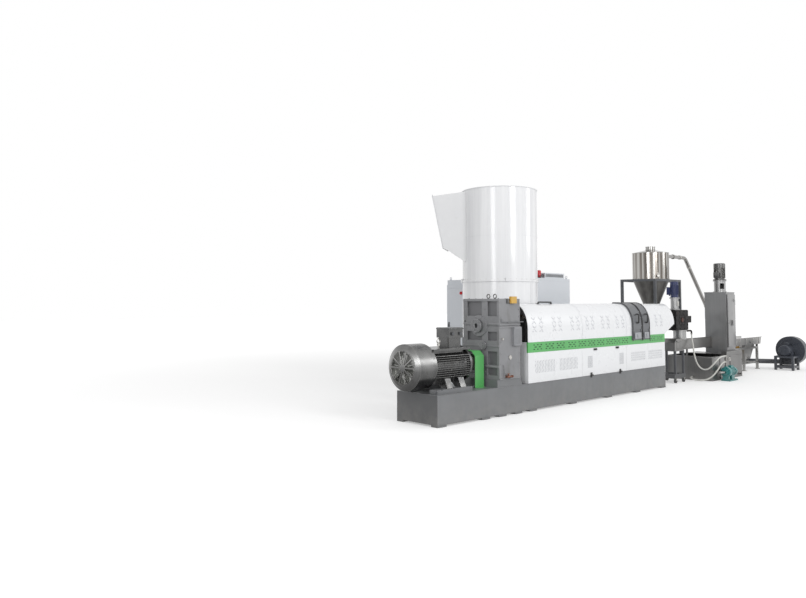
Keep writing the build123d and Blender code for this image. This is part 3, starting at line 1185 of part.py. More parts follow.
with BuildPart() as blower_casing:
    spiral = []
    for step in range(BLOWER_SPIRAL_TURN // BLOWER_SPIRAL_STEP + 1):
        turn = math.radians(BLOWER_SPIRAL_START + step * BLOWER_SPIRAL_STEP)
        reach = BLOWER_RADIUS + BLOWER_GROWTH * step * BLOWER_SPIRAL_STEP / BLOWER_SPIRAL_TURN
        spiral.append((reach * math.cos(turn), reach * math.sin(turn)))
    bottom = spiral[-1][1]
    with BuildSketch(end(BLOWER_X, BLOWER_Y, BLOWER_Z)) as casing_outline:
        with BuildLine():
            Spline(*spiral)
            Polyline(spiral[-1], (BLOWER_OUTLET, bottom), (BLOWER_OUTLET, bottom + BLOWER_OUTLET_RISE),
                     spiral[0])
        make_face()
    extrude(casing_outline.sketch, amount=BLOWER_THICKNESS)
    disc(end(BLOWER_X + BLOWER_THICKNESS, BLOWER_Y, BLOWER_Z), BLOWER_EYE_RADIUS, BLOWER_EYE_LENGTH)
keep(blower_casing, "blower_casing")

motor_end = BLOWER_X - BLOWER_MOTOR_LENGTH
stand_top = BLOWER_Z - BLOWER_MOTOR_RADIUS - BLOWER_FIN_REACH - BLOWER_FIN_WIDTH
with BuildPart() as blower_motor:
    disc(end(motor_end, BLOWER_Y, BLOWER_Z), BLOWER_MOTOR_RADIUS, BLOWER_MOTOR_LENGTH)
    disc(end(motor_end, BLOWER_Y, BLOWER_Z), BLOWER_MOTOR_RADIUS + BLOWER_FIN_REACH, BLOWER_CAP_LENGTH)
    chamfer(blower_motor.edges().group_by(Axis.X)[0], BLOWER_FIN_REACH)
    ribbed(end(motor_end + BLOWER_CAP_LENGTH, BLOWER_Y, BLOWER_Z), BLOWER_MOTOR_RADIUS, BLOWER_FIN_COUNT,
           BLOWER_FIN_REACH, BLOWER_FIN_WIDTH, BLOWER_MOTOR_LENGTH - BLOWER_CAP_LENGTH - BLOWER_PLATE)
    disc(end(BLOWER_X - BLOWER_PLATE / 2, BLOWER_Y, BLOWER_Z), BLOWER_Z - stand_top, BLOWER_PLATE / 2)
    block(floor(motor_end + 2 * BLOWER_CAP_LENGTH, BLOWER_Y - BLOWER_MOTOR_RADIUS, stand_top),
          2 * BLOWER_CAP_LENGTH, 2 * BLOWER_MOTOR_RADIUS, BLOWER_Z - stand_top)
keep(blower_motor, "blower_motor")

with BuildPart() as blower_stand:
    for leg_x in (BLOWER_X - BLOWER_STAND_LENGTH, BLOWER_X - BLOWER_STAND_TUBE):
        for side in (-BLOWER_STAND_WIDTH / 2, BLOWER_STAND_WIDTH / 2 - BLOWER_STAND_TUBE):
            block(floor(leg_x, BLOWER_Y + side, 0), BLOWER_STAND_TUBE, BLOWER_STAND_TUBE,
                  stand_top - BLOWER_PLATE)
        block(floor(leg_x, BLOWER_Y - BLOWER_STAND_WIDTH / 2, BLOWER_STAND_TUBE), BLOWER_STAND_TUBE,
              BLOWER_STAND_WIDTH, BLOWER_STAND_TUBE)
    for side in (-BLOWER_STAND_WIDTH / 2, BLOWER_STAND_WIDTH / 2 - BLOWER_STAND_TUBE):
        block(floor(BLOWER_X - BLOWER_STAND_LENGTH, BLOWER_Y + side, BLOWER_STAND_TUBE), BLOWER_STAND_LENGTH,
              BLOWER_STAND_TUBE, BLOWER_STAND_TUBE)
    block(floor(BLOWER_X - BLOWER_STAND_LENGTH, BLOWER_Y - BLOWER_STAND_WIDTH / 2, stand_top - BLOWER_PLATE),
          BLOWER_STAND_LENGTH, BLOWER_STAND_WIDTH, BLOWER_PLATE)
keep(blower_stand, "blower_stand")


def duct_pipe(radius):
    """Duct from the blower outlet to the foot of the conveying pipe."""
    with BuildPart() as pipe:
        with BuildLine() as duct_path:
            FilletPolyline((LINE_X + DUCT_START_X, LINE_Y + BLOWER_Y + BLOWER_OUTLET, DUCT_Z),
                           (LINE_X + DUCT_START_X, LINE_Y + DUCT_TURN_Y, DUCT_Z),
                           (LINE_X + PIPE_FOOT_X, LINE_Y + DUCT_BACK_Y, DUCT_Z),
                           (LINE_X + PIPE_FOOT_X, LINE_Y + DUCT_END, DUCT_Z), radius=DUCT_BEND_RADIUS)
        with BuildSketch(Plane(origin=duct_path.line @ 0, z_dir=duct_path.line % 0)) as duct_section:
            Circle(radius)
        sweep(duct_section.sketch, path=duct_path.line)
    return pipe


blower_duct = duct_pipe(DUCT_RADIUS)
keep(blower_duct, "blower_duct")

duct_room = duct_pipe(DUCT_RADIUS + SEAT_GAP).part
with BuildPart() as pellet_spout:
    with BuildSketch(front(PIPE_FOOT_X, SPOUT_FRONT, 0)) as spout_profile:
        with BuildLine():
            Polyline((-SIEVE_SLANT - SPOUT_LENGTH, SIEVE_BOTTOM), (-SIEVE_SLANT, SIEVE_BOTTOM),
                     (SPOUT_HALF, DUCT_Z + SPOUT_NECK), (SPOUT_HALF, DUCT_Z), (-SPOUT_HALF, DUCT_Z),
                     (-SPOUT_HALF, DUCT_Z + SPOUT_NECK), close=True)
        make_face()
    extrude(spout_profile.sketch, amount=-SPOUT_WIDTH)
    add(duct_room, mode=Mode.SUBTRACT)
keep(pellet_spout, "pellet_spout")

with BuildPart() as conveying_pipe:
    with BuildLine() as pipe_path:
        FilletPolyline((LINE_X + PIPE_FOOT_X, LINE_Y + DUCT_END, DUCT_Z),
                       (LINE_X + PIPE_FOOT_X, LINE_Y + PIPE_Y, DUCT_Z),
                       (LINE_X + PIPE_BEND_X, LINE_Y + PIPE_Y, PIPE_Z),
                       (LINE_X + SILO_X, LINE_Y + PIPE_Y, PIPE_Z),
                       radius=(PIPE_FOOT_RADIUS, PIPE_BEND_RADIUS))
    with BuildSketch(Plane(origin=pipe_path.line @ 0, z_dir=pipe_path.line % 0)) as pipe_section:
        Circle(PIPE_RADIUS)
    sweep(pipe_section.sketch, path=pipe_path.line)
    disc(end(SILO_X + SILO_RADIUS + PIPE_CLAMP_LENGTH, PIPE_Y, PIPE_Z), PIPE_CLAMP_RADIUS, PIPE_CLAMP_LENGTH)
    disc(floor(SILO_X, SILO_Y, SILO_BOTTOM), SILO_RADIUS + SEAT_GAP, NECK_TOP - SILO_BOTTOM, Mode.SUBTRACT)
keep(conveying_pipe, "conveying_pipe")

with BuildPart() as silo_shell:
    ring(floor(SILO_X, SILO_Y, SILO_BOTTOM), SILO_RADIUS, SILO_RADIUS - SILO_SHEET, SILO_TOP - SILO_BOTTOM)
keep(silo_shell, "silo_shell")

with BuildPart() as silo_lid:
    with BuildSketch(front(SILO_X, SILO_Y, 0)) as lid_profile:
        with BuildLine():
            Polyline((0, SILO_TOP), (SILO_RADIUS, SILO_TOP), (SILO_RADIUS, SILO_TOP + SILO_SHEET),
                     (NECK_RADIUS, SILO_TOP + LID_RISE), (NECK_RADIUS, NECK_TOP), (0, NECK_TOP), close=True)
        make_face()
    revolve(lid_profile.sketch, axis=Axis((LINE_X + SILO_X, LINE_Y + SILO_Y, 0), (0, 0, 1)))
keep(silo_lid, "silo_lid")

with BuildPart() as silo_cone:
    with BuildSketch(front(SILO_X, SILO_Y, 0)) as cone_profile:
        with BuildLine():
            Polyline((SILO_RADIUS - SILO_SHEET, SILO_BOTTOM), (SILO_RADIUS, SILO_BOTTOM),
                     (CONE_OUTLET_RADIUS, CONE_BOTTOM), (CONE_OUTLET_RADIUS, CONE_BOTTOM - CONE_NECK),
                     (CONE_OUTLET_RADIUS - SILO_SHEET, CONE_BOTTOM - CONE_NECK),
                     (CONE_OUTLET_RADIUS - SILO_SHEET, CONE_BOTTOM), close=True)
        make_face()
    revolve(cone_profile.sketch, axis=Axis((LINE_X + SILO_X, LINE_Y + SILO_Y, 0), (0, 0, 1)))
keep(silo_cone, "silo_cone")

with BuildPart() as silo_stand:
    rail_z = SILO_BOTTOM - STAND_TUBE
    for leg_x in (SILO_X - STAND_LENGTH / 2, SILO_X + STAND_LENGTH / 2 - STAND_TUBE):
        for leg_y in (SILO_Y - STAND_WIDTH / 2, SILO_Y + STAND_WIDTH / 2 - STAND_TUBE):
            block(floor(leg_x, leg_y, 0), STAND_TUBE, STAND_TUBE, rail_z)
            block(floor(leg_x - (STAND_PLATE - STAND_TUBE) / 2, leg_y - (STAND_PLATE - STAND_TUBE) / 2, 0),
                  STAND_PLATE, STAND_PLATE, STAND_PLATE_HEIGHT)
    for leg_y in (SILO_Y - STAND_WIDTH / 2, SILO_Y + STAND_WIDTH / 2 - STAND_TUBE):
        block(floor(SILO_X - STAND_LENGTH / 2, leg_y, rail_z), STAND_LENGTH, STAND_TUBE, STAND_TUBE)
    for leg_x in (SILO_X - STAND_LENGTH / 2, SILO_X + STAND_LENGTH / 2 - STAND_TUBE):
        block(floor(leg_x, SILO_Y - STAND_WIDTH / 2, rail_z), STAND_TUBE, STAND_WIDTH, STAND_TUBE)
    with BuildSketch(front(SILO_X, SILO_Y, 0)) as cone_room:
        with BuildLine():
            Polyline((0, SILO_BOTTOM), (SILO_RADIUS + SEAT_GAP, SILO_BOTTOM),
                     (CONE_OUTLET_RADIUS + SEAT_GAP, CONE_BOTTOM), (0, CONE_BOTTOM), close=True)
        make_face()
    revolve(cone_room.sketch, axis=Axis((LINE_X + SILO_X, LINE_Y + SILO_Y, 0), (0, 0, 1)), mode=Mode.SUBTRACT)
keep(silo_stand, "silo_stand")

with BuildPart() as cabinet_body:
    block(floor(CABINET_START + CABINET_ROOF, CABINET_FRONT + CABINET_ROOF, 0),
          CABINET_LENGTH - 2 * CABINET_ROOF,
          CABINET_WIDTH - 2 * CABINET_ROOF, CABINET_PLINTH)
    block(floor(CABINET_START, CABINET_FRONT, CABINET_PLINTH), CABINET_LENGTH, CABINET_WIDTH,
          CABINET_HEIGHT - CABINET_PLINTH)
keep(cabinet_body, "cabinet_body")

with BuildPart() as cabinet_doors:
    door_width = CABINET_WIDTH / CABINET_DOORS
    for number in range(CABINET_DOORS):
        block(floor(CABINET_START - CABINET_DOOR_THICKNESS,
                    CABINET_FRONT + number * door_width + CABINET_DOOR_GAP / 2,
                    CABINET_PLINTH), CABINET_DOOR_THICKNESS, door_width - CABINET_DOOR_GAP,
              CABINET_HEIGHT - CABINET_PLINTH - CABINET_SEAM)
keep(cabinet_doors, "cabinet_doors")

with BuildPart() as cabinet_cooler:
    block(floor(COOLER_START, CABINET_FRONT + COOLER_INSET, CABINET_HEIGHT), COOLER_LENGTH, COOLER_WIDTH,
          COOLER_HEIGHT)
keep(cabinet_cooler, "cabinet_cooler")

with BuildPart() as beacon:
    disc(floor(BEACON_X, CABINET_FRONT + BEACON_INSET, CABINET_HEIGHT), BEACON_BASE_RADIUS, BEACON_BASE)
    disc(floor(BEACON_X, CABINET_FRONT + BEACON_INSET, CABINET_HEIGHT + BEACON_BASE), BEACON_RADIUS,
         BEACON_HEIGHT - BEACON_BASE)
    fillet(beacon.edges().group_by(Axis.Z)[-1], BEACON_RADIUS / 2)
keep(beacon, "beacon")

low = Compound(parts).bounding_box().min
high = Compound(parts).bounding_box().max
print("box", low, high, "centre", (low.X + high.X) / 2, (low.Y + high.Y) / 2)
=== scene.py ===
import json
import math
from itertools import product
import bmesh
import bpy
from mathutils import Matrix, Vector


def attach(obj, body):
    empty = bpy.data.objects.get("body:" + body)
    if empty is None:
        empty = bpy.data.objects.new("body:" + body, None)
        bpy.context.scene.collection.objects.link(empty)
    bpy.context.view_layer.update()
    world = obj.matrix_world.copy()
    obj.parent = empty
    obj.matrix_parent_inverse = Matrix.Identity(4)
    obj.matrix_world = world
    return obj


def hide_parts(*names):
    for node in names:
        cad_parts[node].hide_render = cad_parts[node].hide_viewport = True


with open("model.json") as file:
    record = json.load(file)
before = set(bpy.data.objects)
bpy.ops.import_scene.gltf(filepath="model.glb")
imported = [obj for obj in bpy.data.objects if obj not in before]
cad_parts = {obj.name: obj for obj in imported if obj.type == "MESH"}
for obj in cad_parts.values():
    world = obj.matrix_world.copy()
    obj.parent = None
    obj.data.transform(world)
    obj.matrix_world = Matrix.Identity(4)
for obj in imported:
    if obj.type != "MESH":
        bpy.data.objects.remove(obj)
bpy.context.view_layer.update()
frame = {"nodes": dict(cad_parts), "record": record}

# Place of the front left corner of the extruder base, in metres
LINE = Vector((-5.83, -1.13, 0))

# Directions along the line, to the back and up
X, Y, Z = (1, 0, 0), (0, 1, 0), (0, 0, 1)
BACK_X, FRONT, DOWN = (-1, 0, 0), (0, -1, 0), (0, 0, -1)


def at(x, y, z=0):
    """Point measured from the front left corner of the extruder base."""
    return LINE + Vector((x, y, z))


def add(name, data):
    """New object in the scene."""
    made = bpy.data.objects.new(name, data)
    bpy.context.scene.collection.objects.link(made)
    return made


# Camera at the photograph's place, for an image of 806 by 598
IMAGE_WIDTH = 806
FOCAL_PIXELS = 683.57
SENSOR = 36
YAW = .756
PITCH = .056
HORIZON_SHIFT = -.0417
FAR_CLIP = 200

eye_data = bpy.data.cameras.new("camera")
eye = add("camera", eye_data)
eye_data.sensor_width = SENSOR
eye_data.lens = FOCAL_PIXELS / IMAGE_WIDTH * SENSOR
eye_data.shift_y = HORIZON_SHIFT
eye_data.clip_end = FAR_CLIP
eye.location = at(-6.226, -5.979, 1.55)
eye.rotation_euler = (math.pi / 2 + PITCH, 0, -YAW)
bpy.context.scene.camera = eye

# Routes of the two water hoses, x from the start of the tank as in the model's source
TANK_START = 7.71
HOSE_DIAMETER = .03
FEED_ROUTE = [(.02, .2, .93), (.02, .2, .85), (-.016, .163, .738), (-.062, .128, .605), (-.088, .1, .48),
              (-.098, .055, .36), (-.1, -.005, .268), (-.098, -.095, .225), (-.096, -.185, .255),
              (-.082, -.268, .345), (-.038, -.33, .44), (.042, -.366, .497), (.152, -.37, .5),
              (.245, -.37, .5)]
RETURN_ROUTE = [(.245, -.37, .385), (.162, -.37, .385), (.06, -.358, .336), (-.02, -.325, .238),
                (-.078, -.275, .142), (-.13, -.205, .066), (-.172, -.125, .034), (-.2, -.03, .024),
                (-.208, .07, .031), (-.187, .126, .041), (-.145, .168, .052), (-.09, .19, .06),
                (-.03, .19, .06)]


def hose(name, route):
    """Water hose on one smooth curve through its route."""
    data = bpy.data.curves.new(name, "CURVE")
    data.dimensions = "3D"
    line = data.splines.new("NURBS")
    line.points.add(len(route) - 1)
    for knot, (x, y, z) in zip(line.points, route):
        knot.co = (*at(TANK_START + x, y, z), 1)
        knot.radius = HOSE_DIAMETER / 2
    line.order_u = 3
    line.use_endpoint_u = True
    line.resolution_u = 12
    data.bevel_depth = 1
    data.bevel_resolution = 6
    piece = add(name, data)
    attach(piece, "line")
    x, y, z = route[0]
    return piece


feed_hose = hose("feed_water_hose", FEED_ROUTE)
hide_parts("feed_hose")
return_hose = hose("return_water_hose", RETURN_ROUTE)
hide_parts("return_hose")


def node(tree, kind, values=None, **settings):
    """New node with its settings made and its sockets given numbers or other nodes' results."""
    made = tree.nodes.new("ShaderNode" + kind)
    for setting, value in settings.items():
        setattr(made, setting, value)
    for socket, value in (values or {}).items():
        if isinstance(value, bpy.types.NodeSocket):
            tree.links.new(value, made.inputs[socket])
        else:
            made.inputs[socket].default_value = value
    return made


# Materials by name
finish = {}


class Surface:
    """One material with its node tree, and the tone and normal that its steps build up."""

    def __init__(self, name, roughness, metallic=0, edge=0, coat=(0, .03), specular=.5):
        self.material = bpy.data.materials.new(name)
        self.material.use_nodes = True
        finish[name] = self.material
        self.tree = self.material.node_tree
        self.shader = self.tree.nodes["Principled BSDF"]
        for socket, number in (("Metallic", metallic), ("Roughness", roughness), ("Coat Weight", coat[0]),
                               ("Coat Roughness", coat[1]), ("Specular IOR Level", specular)):
            self.shader.inputs[socket].default_value = number
        self.place = self.node("TexCoord").outputs["Object"]
        self.tone = self.normal = None
        if edge:
            self.worn = self.edge(edge)

    def node(self, kind, values=None, **settings):
        return node(self.tree, kind, values, **settings)

    def noise(self, scale, detail=3, place=None, rough=.55):
        """Noise of a scale, on the object's place, a given one, or one with its axes scaled by a tuple."""
        if isinstance(place, tuple):
            place = self.node("Mapping", {"Scale": place, "Vector": self.place}).outputs["Vector"]
        return self.node("TexNoise", {"Scale": scale, "Detail": detail, "Roughness": rough,
                                      "Vector": place or self.place}).outputs["Fac"]

    def spread(self, value, low, high, start=0, stop=1):
        """Value, or noise of given values, from low to high brought to start to stop and held there."""
        if isinstance(value, tuple):
            value = self.noise(*value)
        return self.node("MapRange", {"From Min": low, "From Max": high, "To Min": start, "To Max": stop,
                                      "Value": value}).outputs["Result"]

    def math(self, operation, first, second):
        return self.node("Math", {0: first, 1: second}, operation=operation).outputs[0]

    def times(self, first, second):
        return self.math("MULTIPLY", first, second)

    def vector(self, operation, first, second):
        return self.node("VectorMath", {0: first, 1: second}, operation=operation).outputs

    def parts(self, place):
        """The x, y and z of a place."""
        return self.node("SeparateXYZ", {0: place}).outputs

    def height(self, low, high, start=0, stop=1):
        """Height over the floor from low to high brought to start to stop."""
        return self.spread(self.parts(self.place)[2], low, high, start, stop)

    def around(self, axis, stretch):
        """Place by the angle round an upright axis, with the height scaled."""
        x, y, z = self.parts(self.vector("SUBTRACT", self.place, axis)[0])
        return self.node("CombineXYZ", {0: self.math("ARCTAN2", y, x), 1: self.times(z, stretch)}).outputs[0]

    def off_axis(self, centre, across):
        """Distance from a line through a centre, measured along the directions that across keeps."""
        step = self.vector("MULTIPLY", self.vector("SUBTRACT", self.place, centre)[0], across)[0]
        return self.length(step)

    def length(self, step):
        return self.node("VectorMath", {0: step}, operation="LENGTH").outputs["Value"]

    def inside(self, low, high):
        """One between two corners of a box, zero elsewhere."""
        x, y, z = (self.times(self.math("GREATER_THAN", part, least), self.math("LESS_THAN", part, most))
                   for part, least, most in zip(self.parts(self.place), low, high))
        return self.times(self.times(x, y), z)

    def edge(self, radius):
        """One along worn edges, zero on flat faces, and the rounded normal kept for the bumps."""
        self.normal = self.node("Bevel", {"Radius": radius}, samples=4).outputs["Normal"]
        flat = self.node("NewGeometry").outputs["Normal"]
        return self.spread(self.vector("DOT_PRODUCT", self.normal, flat)["Value"], .985, .8)

    def bump(self, height, strength, distance):
        """Bumps of a value, or of noise of given values."""
        if isinstance(height, tuple):
            height = self.noise(*height)
        values = {"Strength": strength, "Distance": distance, "Height": height}
        if self.normal is not None:
            values["Normal"] = self.normal
        self.normal = self.node("Bump", values).outputs["Normal"]

    def drift(self, value, dark, bright, low=.3, high=.7):
        """Begin the tone with two colours that a value drifts between."""
        self.tone = (*dark, 1)
        self.over(self.spread(value, low, high), bright)

    def over(self, amount, colour):
        """Lay a colour over the tone by an amount."""
        self.tone = self.node("Mix", {0: amount, 6: self.tone, 7: (*colour, 1)}, data_type="RGBA").outputs[2]

    def rub(self, amount, colour):
        """Lay a colour along the worn edges."""
        self.over(self.times(self.worn, amount), colour)

    def marks(self, value, low, high, most, colour):
        """Lay a colour where a value passes from low to high."""
        self.over(self.spread(value, low, high, 0, most), colour)

    def done(self, rough=None, least=None, most=None):
        """Join tone, normal and roughness, which is a value or spreads from least to most over it."""
        if least is not None:
            rough = self.spread(rough, .3, .7, least, most)
        for socket, result in (("Base Color", self.tone), ("Roughness", rough), ("Normal", self.normal)):
            if result is not None:
                self.tree.links.new(result, self.shader.inputs[socket])


def made(make):
    """Make a material right where its function stands."""
    make()
    return make


def shade(colour, factor):
    return tuple(min(1, channel * factor) for channel in colour)


def paint(name, colour, roughness, worn, mottle=.1, peel=.15, coat=0, dust=.25, painted_shade_box=None):
    """Sprayed paint: faint clouds and runs, orange peel, rubbed edges, dust near the floor and painted shade in one
    box.
    """
    look = Surface(name, roughness, edge=.003, coat=(coat, .12))
    clouds = look.noise(1.7, 4)
    runs = look.noise(6, 5, (1, 1, .12))
    look.drift(clouds, shade(colour, 1 - mottle), shade(colour, 1 + mottle))
    look.marks(runs, .52, .78, mottle * 2.2, shade(colour, .62))
    # Painted shade: a darker coat over the box, standing for the shade that falls there
    if painted_shade_box:
        painted_shade = look.times(look.inside(*painted_shade_box), look.spread(clouds, .3, .7, .7, .95))
        look.over(painted_shade, shade(colour, .42))
    chips = look.times(look.worn, look.spread((38, 4), .42, .62))
    look.over(look.times(chips, .8), worn)
    dusty = look.times(look.height(0, .35, dust, 0), look.spread((9, 5), .35, .65, .2))
    look.over(dusty, (.34, .32, .29))
    rough = look.spread((14, 4), .3, .7, roughness - .07, roughness + .1)
    look.bump((220, 2), peel, .0006)
    look.done(look.math("ADD", rough, look.times(dusty, .35)))


@made
def base_grey():
    # Painted shade on the base's end face, in the box given below
    paint("base_grey", (.172, .177, .184), .4, (.36, .36, .36), mottle=.09,
          painted_shade_box=(at(-.01, -.01, -.01), at(.004, .75, .398)))


@made
def motor_grey():
    """Dark cast iron motor paint with a metallic sheen and oily dust in the ribs."""
    look = Surface("motor_grey", .26, .85, edge=.003)
    look.drift((4, 4), (.098, .099, .1), (.15, .15, .148))
    look.marks((11, 6, (1, 1, .3)), .56, .74, .45, (.06, .055, .048))
    look.rub(.6, (.46, .45, .43))
    look.bump((90, 3), .15, .0008)
    look.done((14, 4), .2, .34)


@made
def cover_white():
    """Even white sheet paint, a little wavy, with dust at its foot and faint wipe marks."""
    look = Surface("cover_white", .3, edge=.0025, coat=(.3, .1))
    look.drift((.9, 2), (.8, .81, .828), (.815, .824, .84))
    look.marks((5, 5, (.5, 1, 1)), .6, .8, .14, (.66, .66, .67))
    look.over(look.times(look.worn, look.spread((30, 4), .5, .64, 0, .7)), (.5, .5, .51))
    foot = look.height(.4, .52, .16, 0)
    look.over(look.times(foot, look.spread((12, 5), .35, .65, .1)), (.42, .4, .37))
    look.bump((1.8, 2), .25, .01)
    look.done((3,), .24, .34)


# Axes of the drum and the silo, for the upright stripes of tone round them: waves of the rolled sheet on the drum,
# painted reflections on the silo
DRUM_X, DRUM_Y = 2.6, 1.07
SILO_X, SILO_Y = 8.02, 1.2


@made
def drum_white():
    """Glossy white drum paint over plate with soft vertical waves from the rolling."""
    look = Surface("drum_white", .2, edge=.004, coat=(.45, .08))
    turned = look.around(at(DRUM_X, DRUM_Y), .05)
    look.drift((4.5, 3, turned), (.725, .73, .745), (.815, .82, .832), .36, .62)
    look.marks((4, 6, (1, 1, .6)), .66, .8, .18, (.62, .62, .62))
    look.bump((7, 2, turned), .4, .01)
    look.done((3,), .14, .26)


@made
def chute_white():
    """Duller white of the welded chute and the lid, with soft dents."""
    look = Surface("chute_white", .42, edge=.003)
    clouds = look.noise(1.4)
    look.drift(clouds, (.655, .66, .672), (.735, .74, .75))
    look.marks((7, 6), .62, .8, .25, (.5, .5, .5))
    look.bump((2.2, 2), .4, .02)
    look.done(clouds, .36, .5)


@made
def cowl_steel():
    """Rubbed dark steel of the fan cowl, with oily clouds, painted shade towards its foot, a painted highlight along
    its upper side and lighter fan blades.
    """
    look = Surface("cowl_steel", .24, .92, edge=.006)
    clouds = look.noise(2.6, 3, (1.6, 1, 1))
    look.drift(clouds, (.095, .096, .097), (.185, .185, .183), .35, .65)
    rub = look.noise(1, 5, (70, 3, 3), .7)
    look.marks(rub, .4, .7, .25, (.32, .32, .315))
    look.marks((9, 6), .58, .76, .4, (.055, .05, .045))
    # Painted shade: darker towards the cowl's foot
    look.over(look.height(.46, .82, .8, 0), (.042, .041, .04))
    blades = look.math("LESS_THAN", look.off_axis(at(0, .365, .738), (0, 1, 1)), .226)
    blades = look.times(blades, look.inside(at(-.238, .1, .4), at(-.06, .6, 1.1)))
    look.over(look.times(blades, .85), (.36, .365, .35))
    # Painted highlight: a lighter band along the cowl's upper side
    highlight_band = look.times(look.height(.7, .84), look.height(.98, .86))
    look.over(look.times(highlight_band, .5), (.44, .44, .435))
    look.rub(.6, (.5, .49, .47))
    look.bump(rub, .08, .0006)
    look.done(clouds, .2, .34)


@made
def vent_green():
    paint("vent_green", (.1, .41, .118), .36, (.35, .45, .33), mottle=.06, peel=.12)


@made
def cast_grey():
    """Machine grey enamel on rough casting, with painted shade in the recesses of the gearbox's front."""
    look = Surface("cast_grey", .42, edge=.005)
    look.drift((2.4, 5), (.205, .207, .216), (.25, .252, .262))
    look.marks((7, 6, (1, 1, .35)), .56, .78, .5, (.12, .115, .108))
    # Painted shade in the recesses of the gearbox's front
    painted_pocket_shade = look.inside(at(1.246, .008, .52), at(1.3, .65, 1.612))
    look.over(look.times(painted_pocket_shade, .55), (.09, .09, .095))
    look.rub(.5, (.46, .46, .47))
    look.bump((65, 4), .35, .0014)
    look.done((11, 4), .36, .58)


@made
def dark_steel():
    paint("dark_steel", (.088, .092, .1), .4, (.28, .28, .28), mottle=.16, peel=.16)


@made
def cover_cast():
    """Turned bearing covers of the gearbox, a little brighter than the casting."""
    look = Surface("cover_cast", .3, .55, edge=.006)
    turned = look.noise(24, 4)
    look.drift(turned, (.155, .157, .163), (.225, .227, .233))
    # Rubbed rims of the turned edges, also made bright as painted highlights
    look.rub(.85, (.62, .62, .63))
    look.bump(turned, .15, .001)
    look.done(turned, .24, .4)


@made
def strap_grey():
    """Mid grey enamel of the two degassing covers."""
    paint("strap_grey", (.125, .13, .14), .34, (.34, .34, .35), mottle=.08, peel=.1)


@made
def hot_iron():
    """Black scale of heated iron, reddish where it runs hottest."""
    look = Surface("hot_iron", .62, edge=.004, specular=.25)
    scale = look.noise(14, 6)
    look.drift(scale, (.007, .007, .0075), (.02, .0185, .018), .35)
    look.marks((6, 5), .58, .74, .6, (.06, .022, .014))
    look.rub(.3, (.09, .085, .08))
    look.bump(scale, .3, .002)
    look.done(scale, .45, .7)


def brushed(name, dull, bright, roughness):
    """Brushed stainless sheet: upright grain, an even light to dark drift and hand marks near its edges."""
    look = Surface(name, roughness, .92, edge=.003)
    grain = look.noise(1, 4, (60, 60, .8), .7)
    look.drift((.7, 2, (1, 1, .5)), dull, bright, .35, .65)
    look.marks(grain, .35, .65, .3, shade(bright, 1.35))
    look.marks((6, 5), .62, .8, .3, shade(dull, .72))
    look.rub(.45, (.6, .6, .59))
    look.bump(grain, .1, .0006)
    look.done((3,), roughness - .05, roughness + .08)


@made
def stainless():
    brushed("stainless", (.255, .255, .258), (.335, .335, .335), .34)


@made
def tank_steel():
    """Dull wet sheet of the tank and trough."""
    brushed("tank_steel", (.15, .148, .146), (.235, .232, .228), .32)


@made
def tray_steel():
    """Lighter rubbed sheet of the sieve."""
    brushed("tray_steel", (.34, .335, .325), (.47, .465, .455), .3)


@made
def pipe_steel():
    look = Surface("pipe_steel", .15, 1, edge=.002)
    clouds = look.noise(2, 2)
    look.drift(clouds, (.26, .253, .243), (.34, .333, .323))
    look.bump((18, 2), .06, .002)
    look.done(clouds, .12, .2)


@made
def silo_steel():
    """Polished silo sheet with painted reflections in upright light and dark stripes all round."""
    look = Surface("silo_steel", .16, 1, edge=.003)
    turned = look.around(at(SILO_X, SILO_Y), .06)
    # Painted reflections: regular upright stripes, wandering a little, light and dark all round
    wander = look.times(look.noise(3, 2, turned), 7)
    reflection_waves = look.math("SINE", look.math("ADD", look.times(look.parts(turned)[0], 21), wander), 0)
    reflection_bands = look.math("ADD", look.times(reflection_waves, .3), look.noise(13, 3, turned))
    look.drift(reflection_bands, (.15, .132, .115), (.5, .49, .47), .2, .8)
    look.bump((5, 2, turned), .5, .01)
    look.done((4,), .12, .24)


@made
def cone_steel():
    look = Surface("cone_steel", .34, .9, edge=.003)
    look.drift((5, 5, (1, 1, .25)), (.085, .082, .078), (.2, .195, .185))
    look.bump((80,), .12, .0006)
    look.done((9, 4), .28, .46)


@made
def motor_blue():
    paint("motor_blue", (.017, .026, .092), .34, (.16, .18, .26), mottle=.14, peel=.2)


@made
def pump_teal():
    paint("pump_teal", (.016, .225, .225), .26, (.14, .34, .34), mottle=.14, coat=.3)


@made
def hose_white():
    """White woven hose with a faint braid."""
    look = Surface("hose_white", .48)
    weave = look.noise(140, 2)
    look.drift((6, 4), (.7, .7, .67), (.58, .57, .53), .35)
    look.marks(weave, .45, .65, .35, (.46, .46, .44))
    look.bump(weave, .4, .0012)
    look.done()


@made
def blower_blue():
    paint("blower_blue", (.052, .058, .073), .32, (.2, .22, .25), mottle=.12)


@made
def cabinet_grey():
    paint("cabinet_grey", (.64, .665, .7), .46, (.45, .46, .47), mottle=.02, peel=.12, dust=.15)


@made
def beacon_red():
    """Red lamp glass with moulded rings."""
    look = Surface("beacon_red", .14, coat=(.5, .03))
    rings = look.node("TexWave", {"Scale": 28, "Vector": look.place}, bands_direction="Z").outputs["Fac"]
    look.bump(rings, .5, .003)
    look.drift(rings, (.42, .006, .012), (.7, .02, .03), .2, .8)
    look.done()


@made
def orange():
    paint("orange", (.55, .31, .06), .42, (.3, .25, .2), mottle=.2)


@made
def yellow():
    paint("yellow", (.6, .36, .065), .4, (.5, .35, .2), mottle=.08)


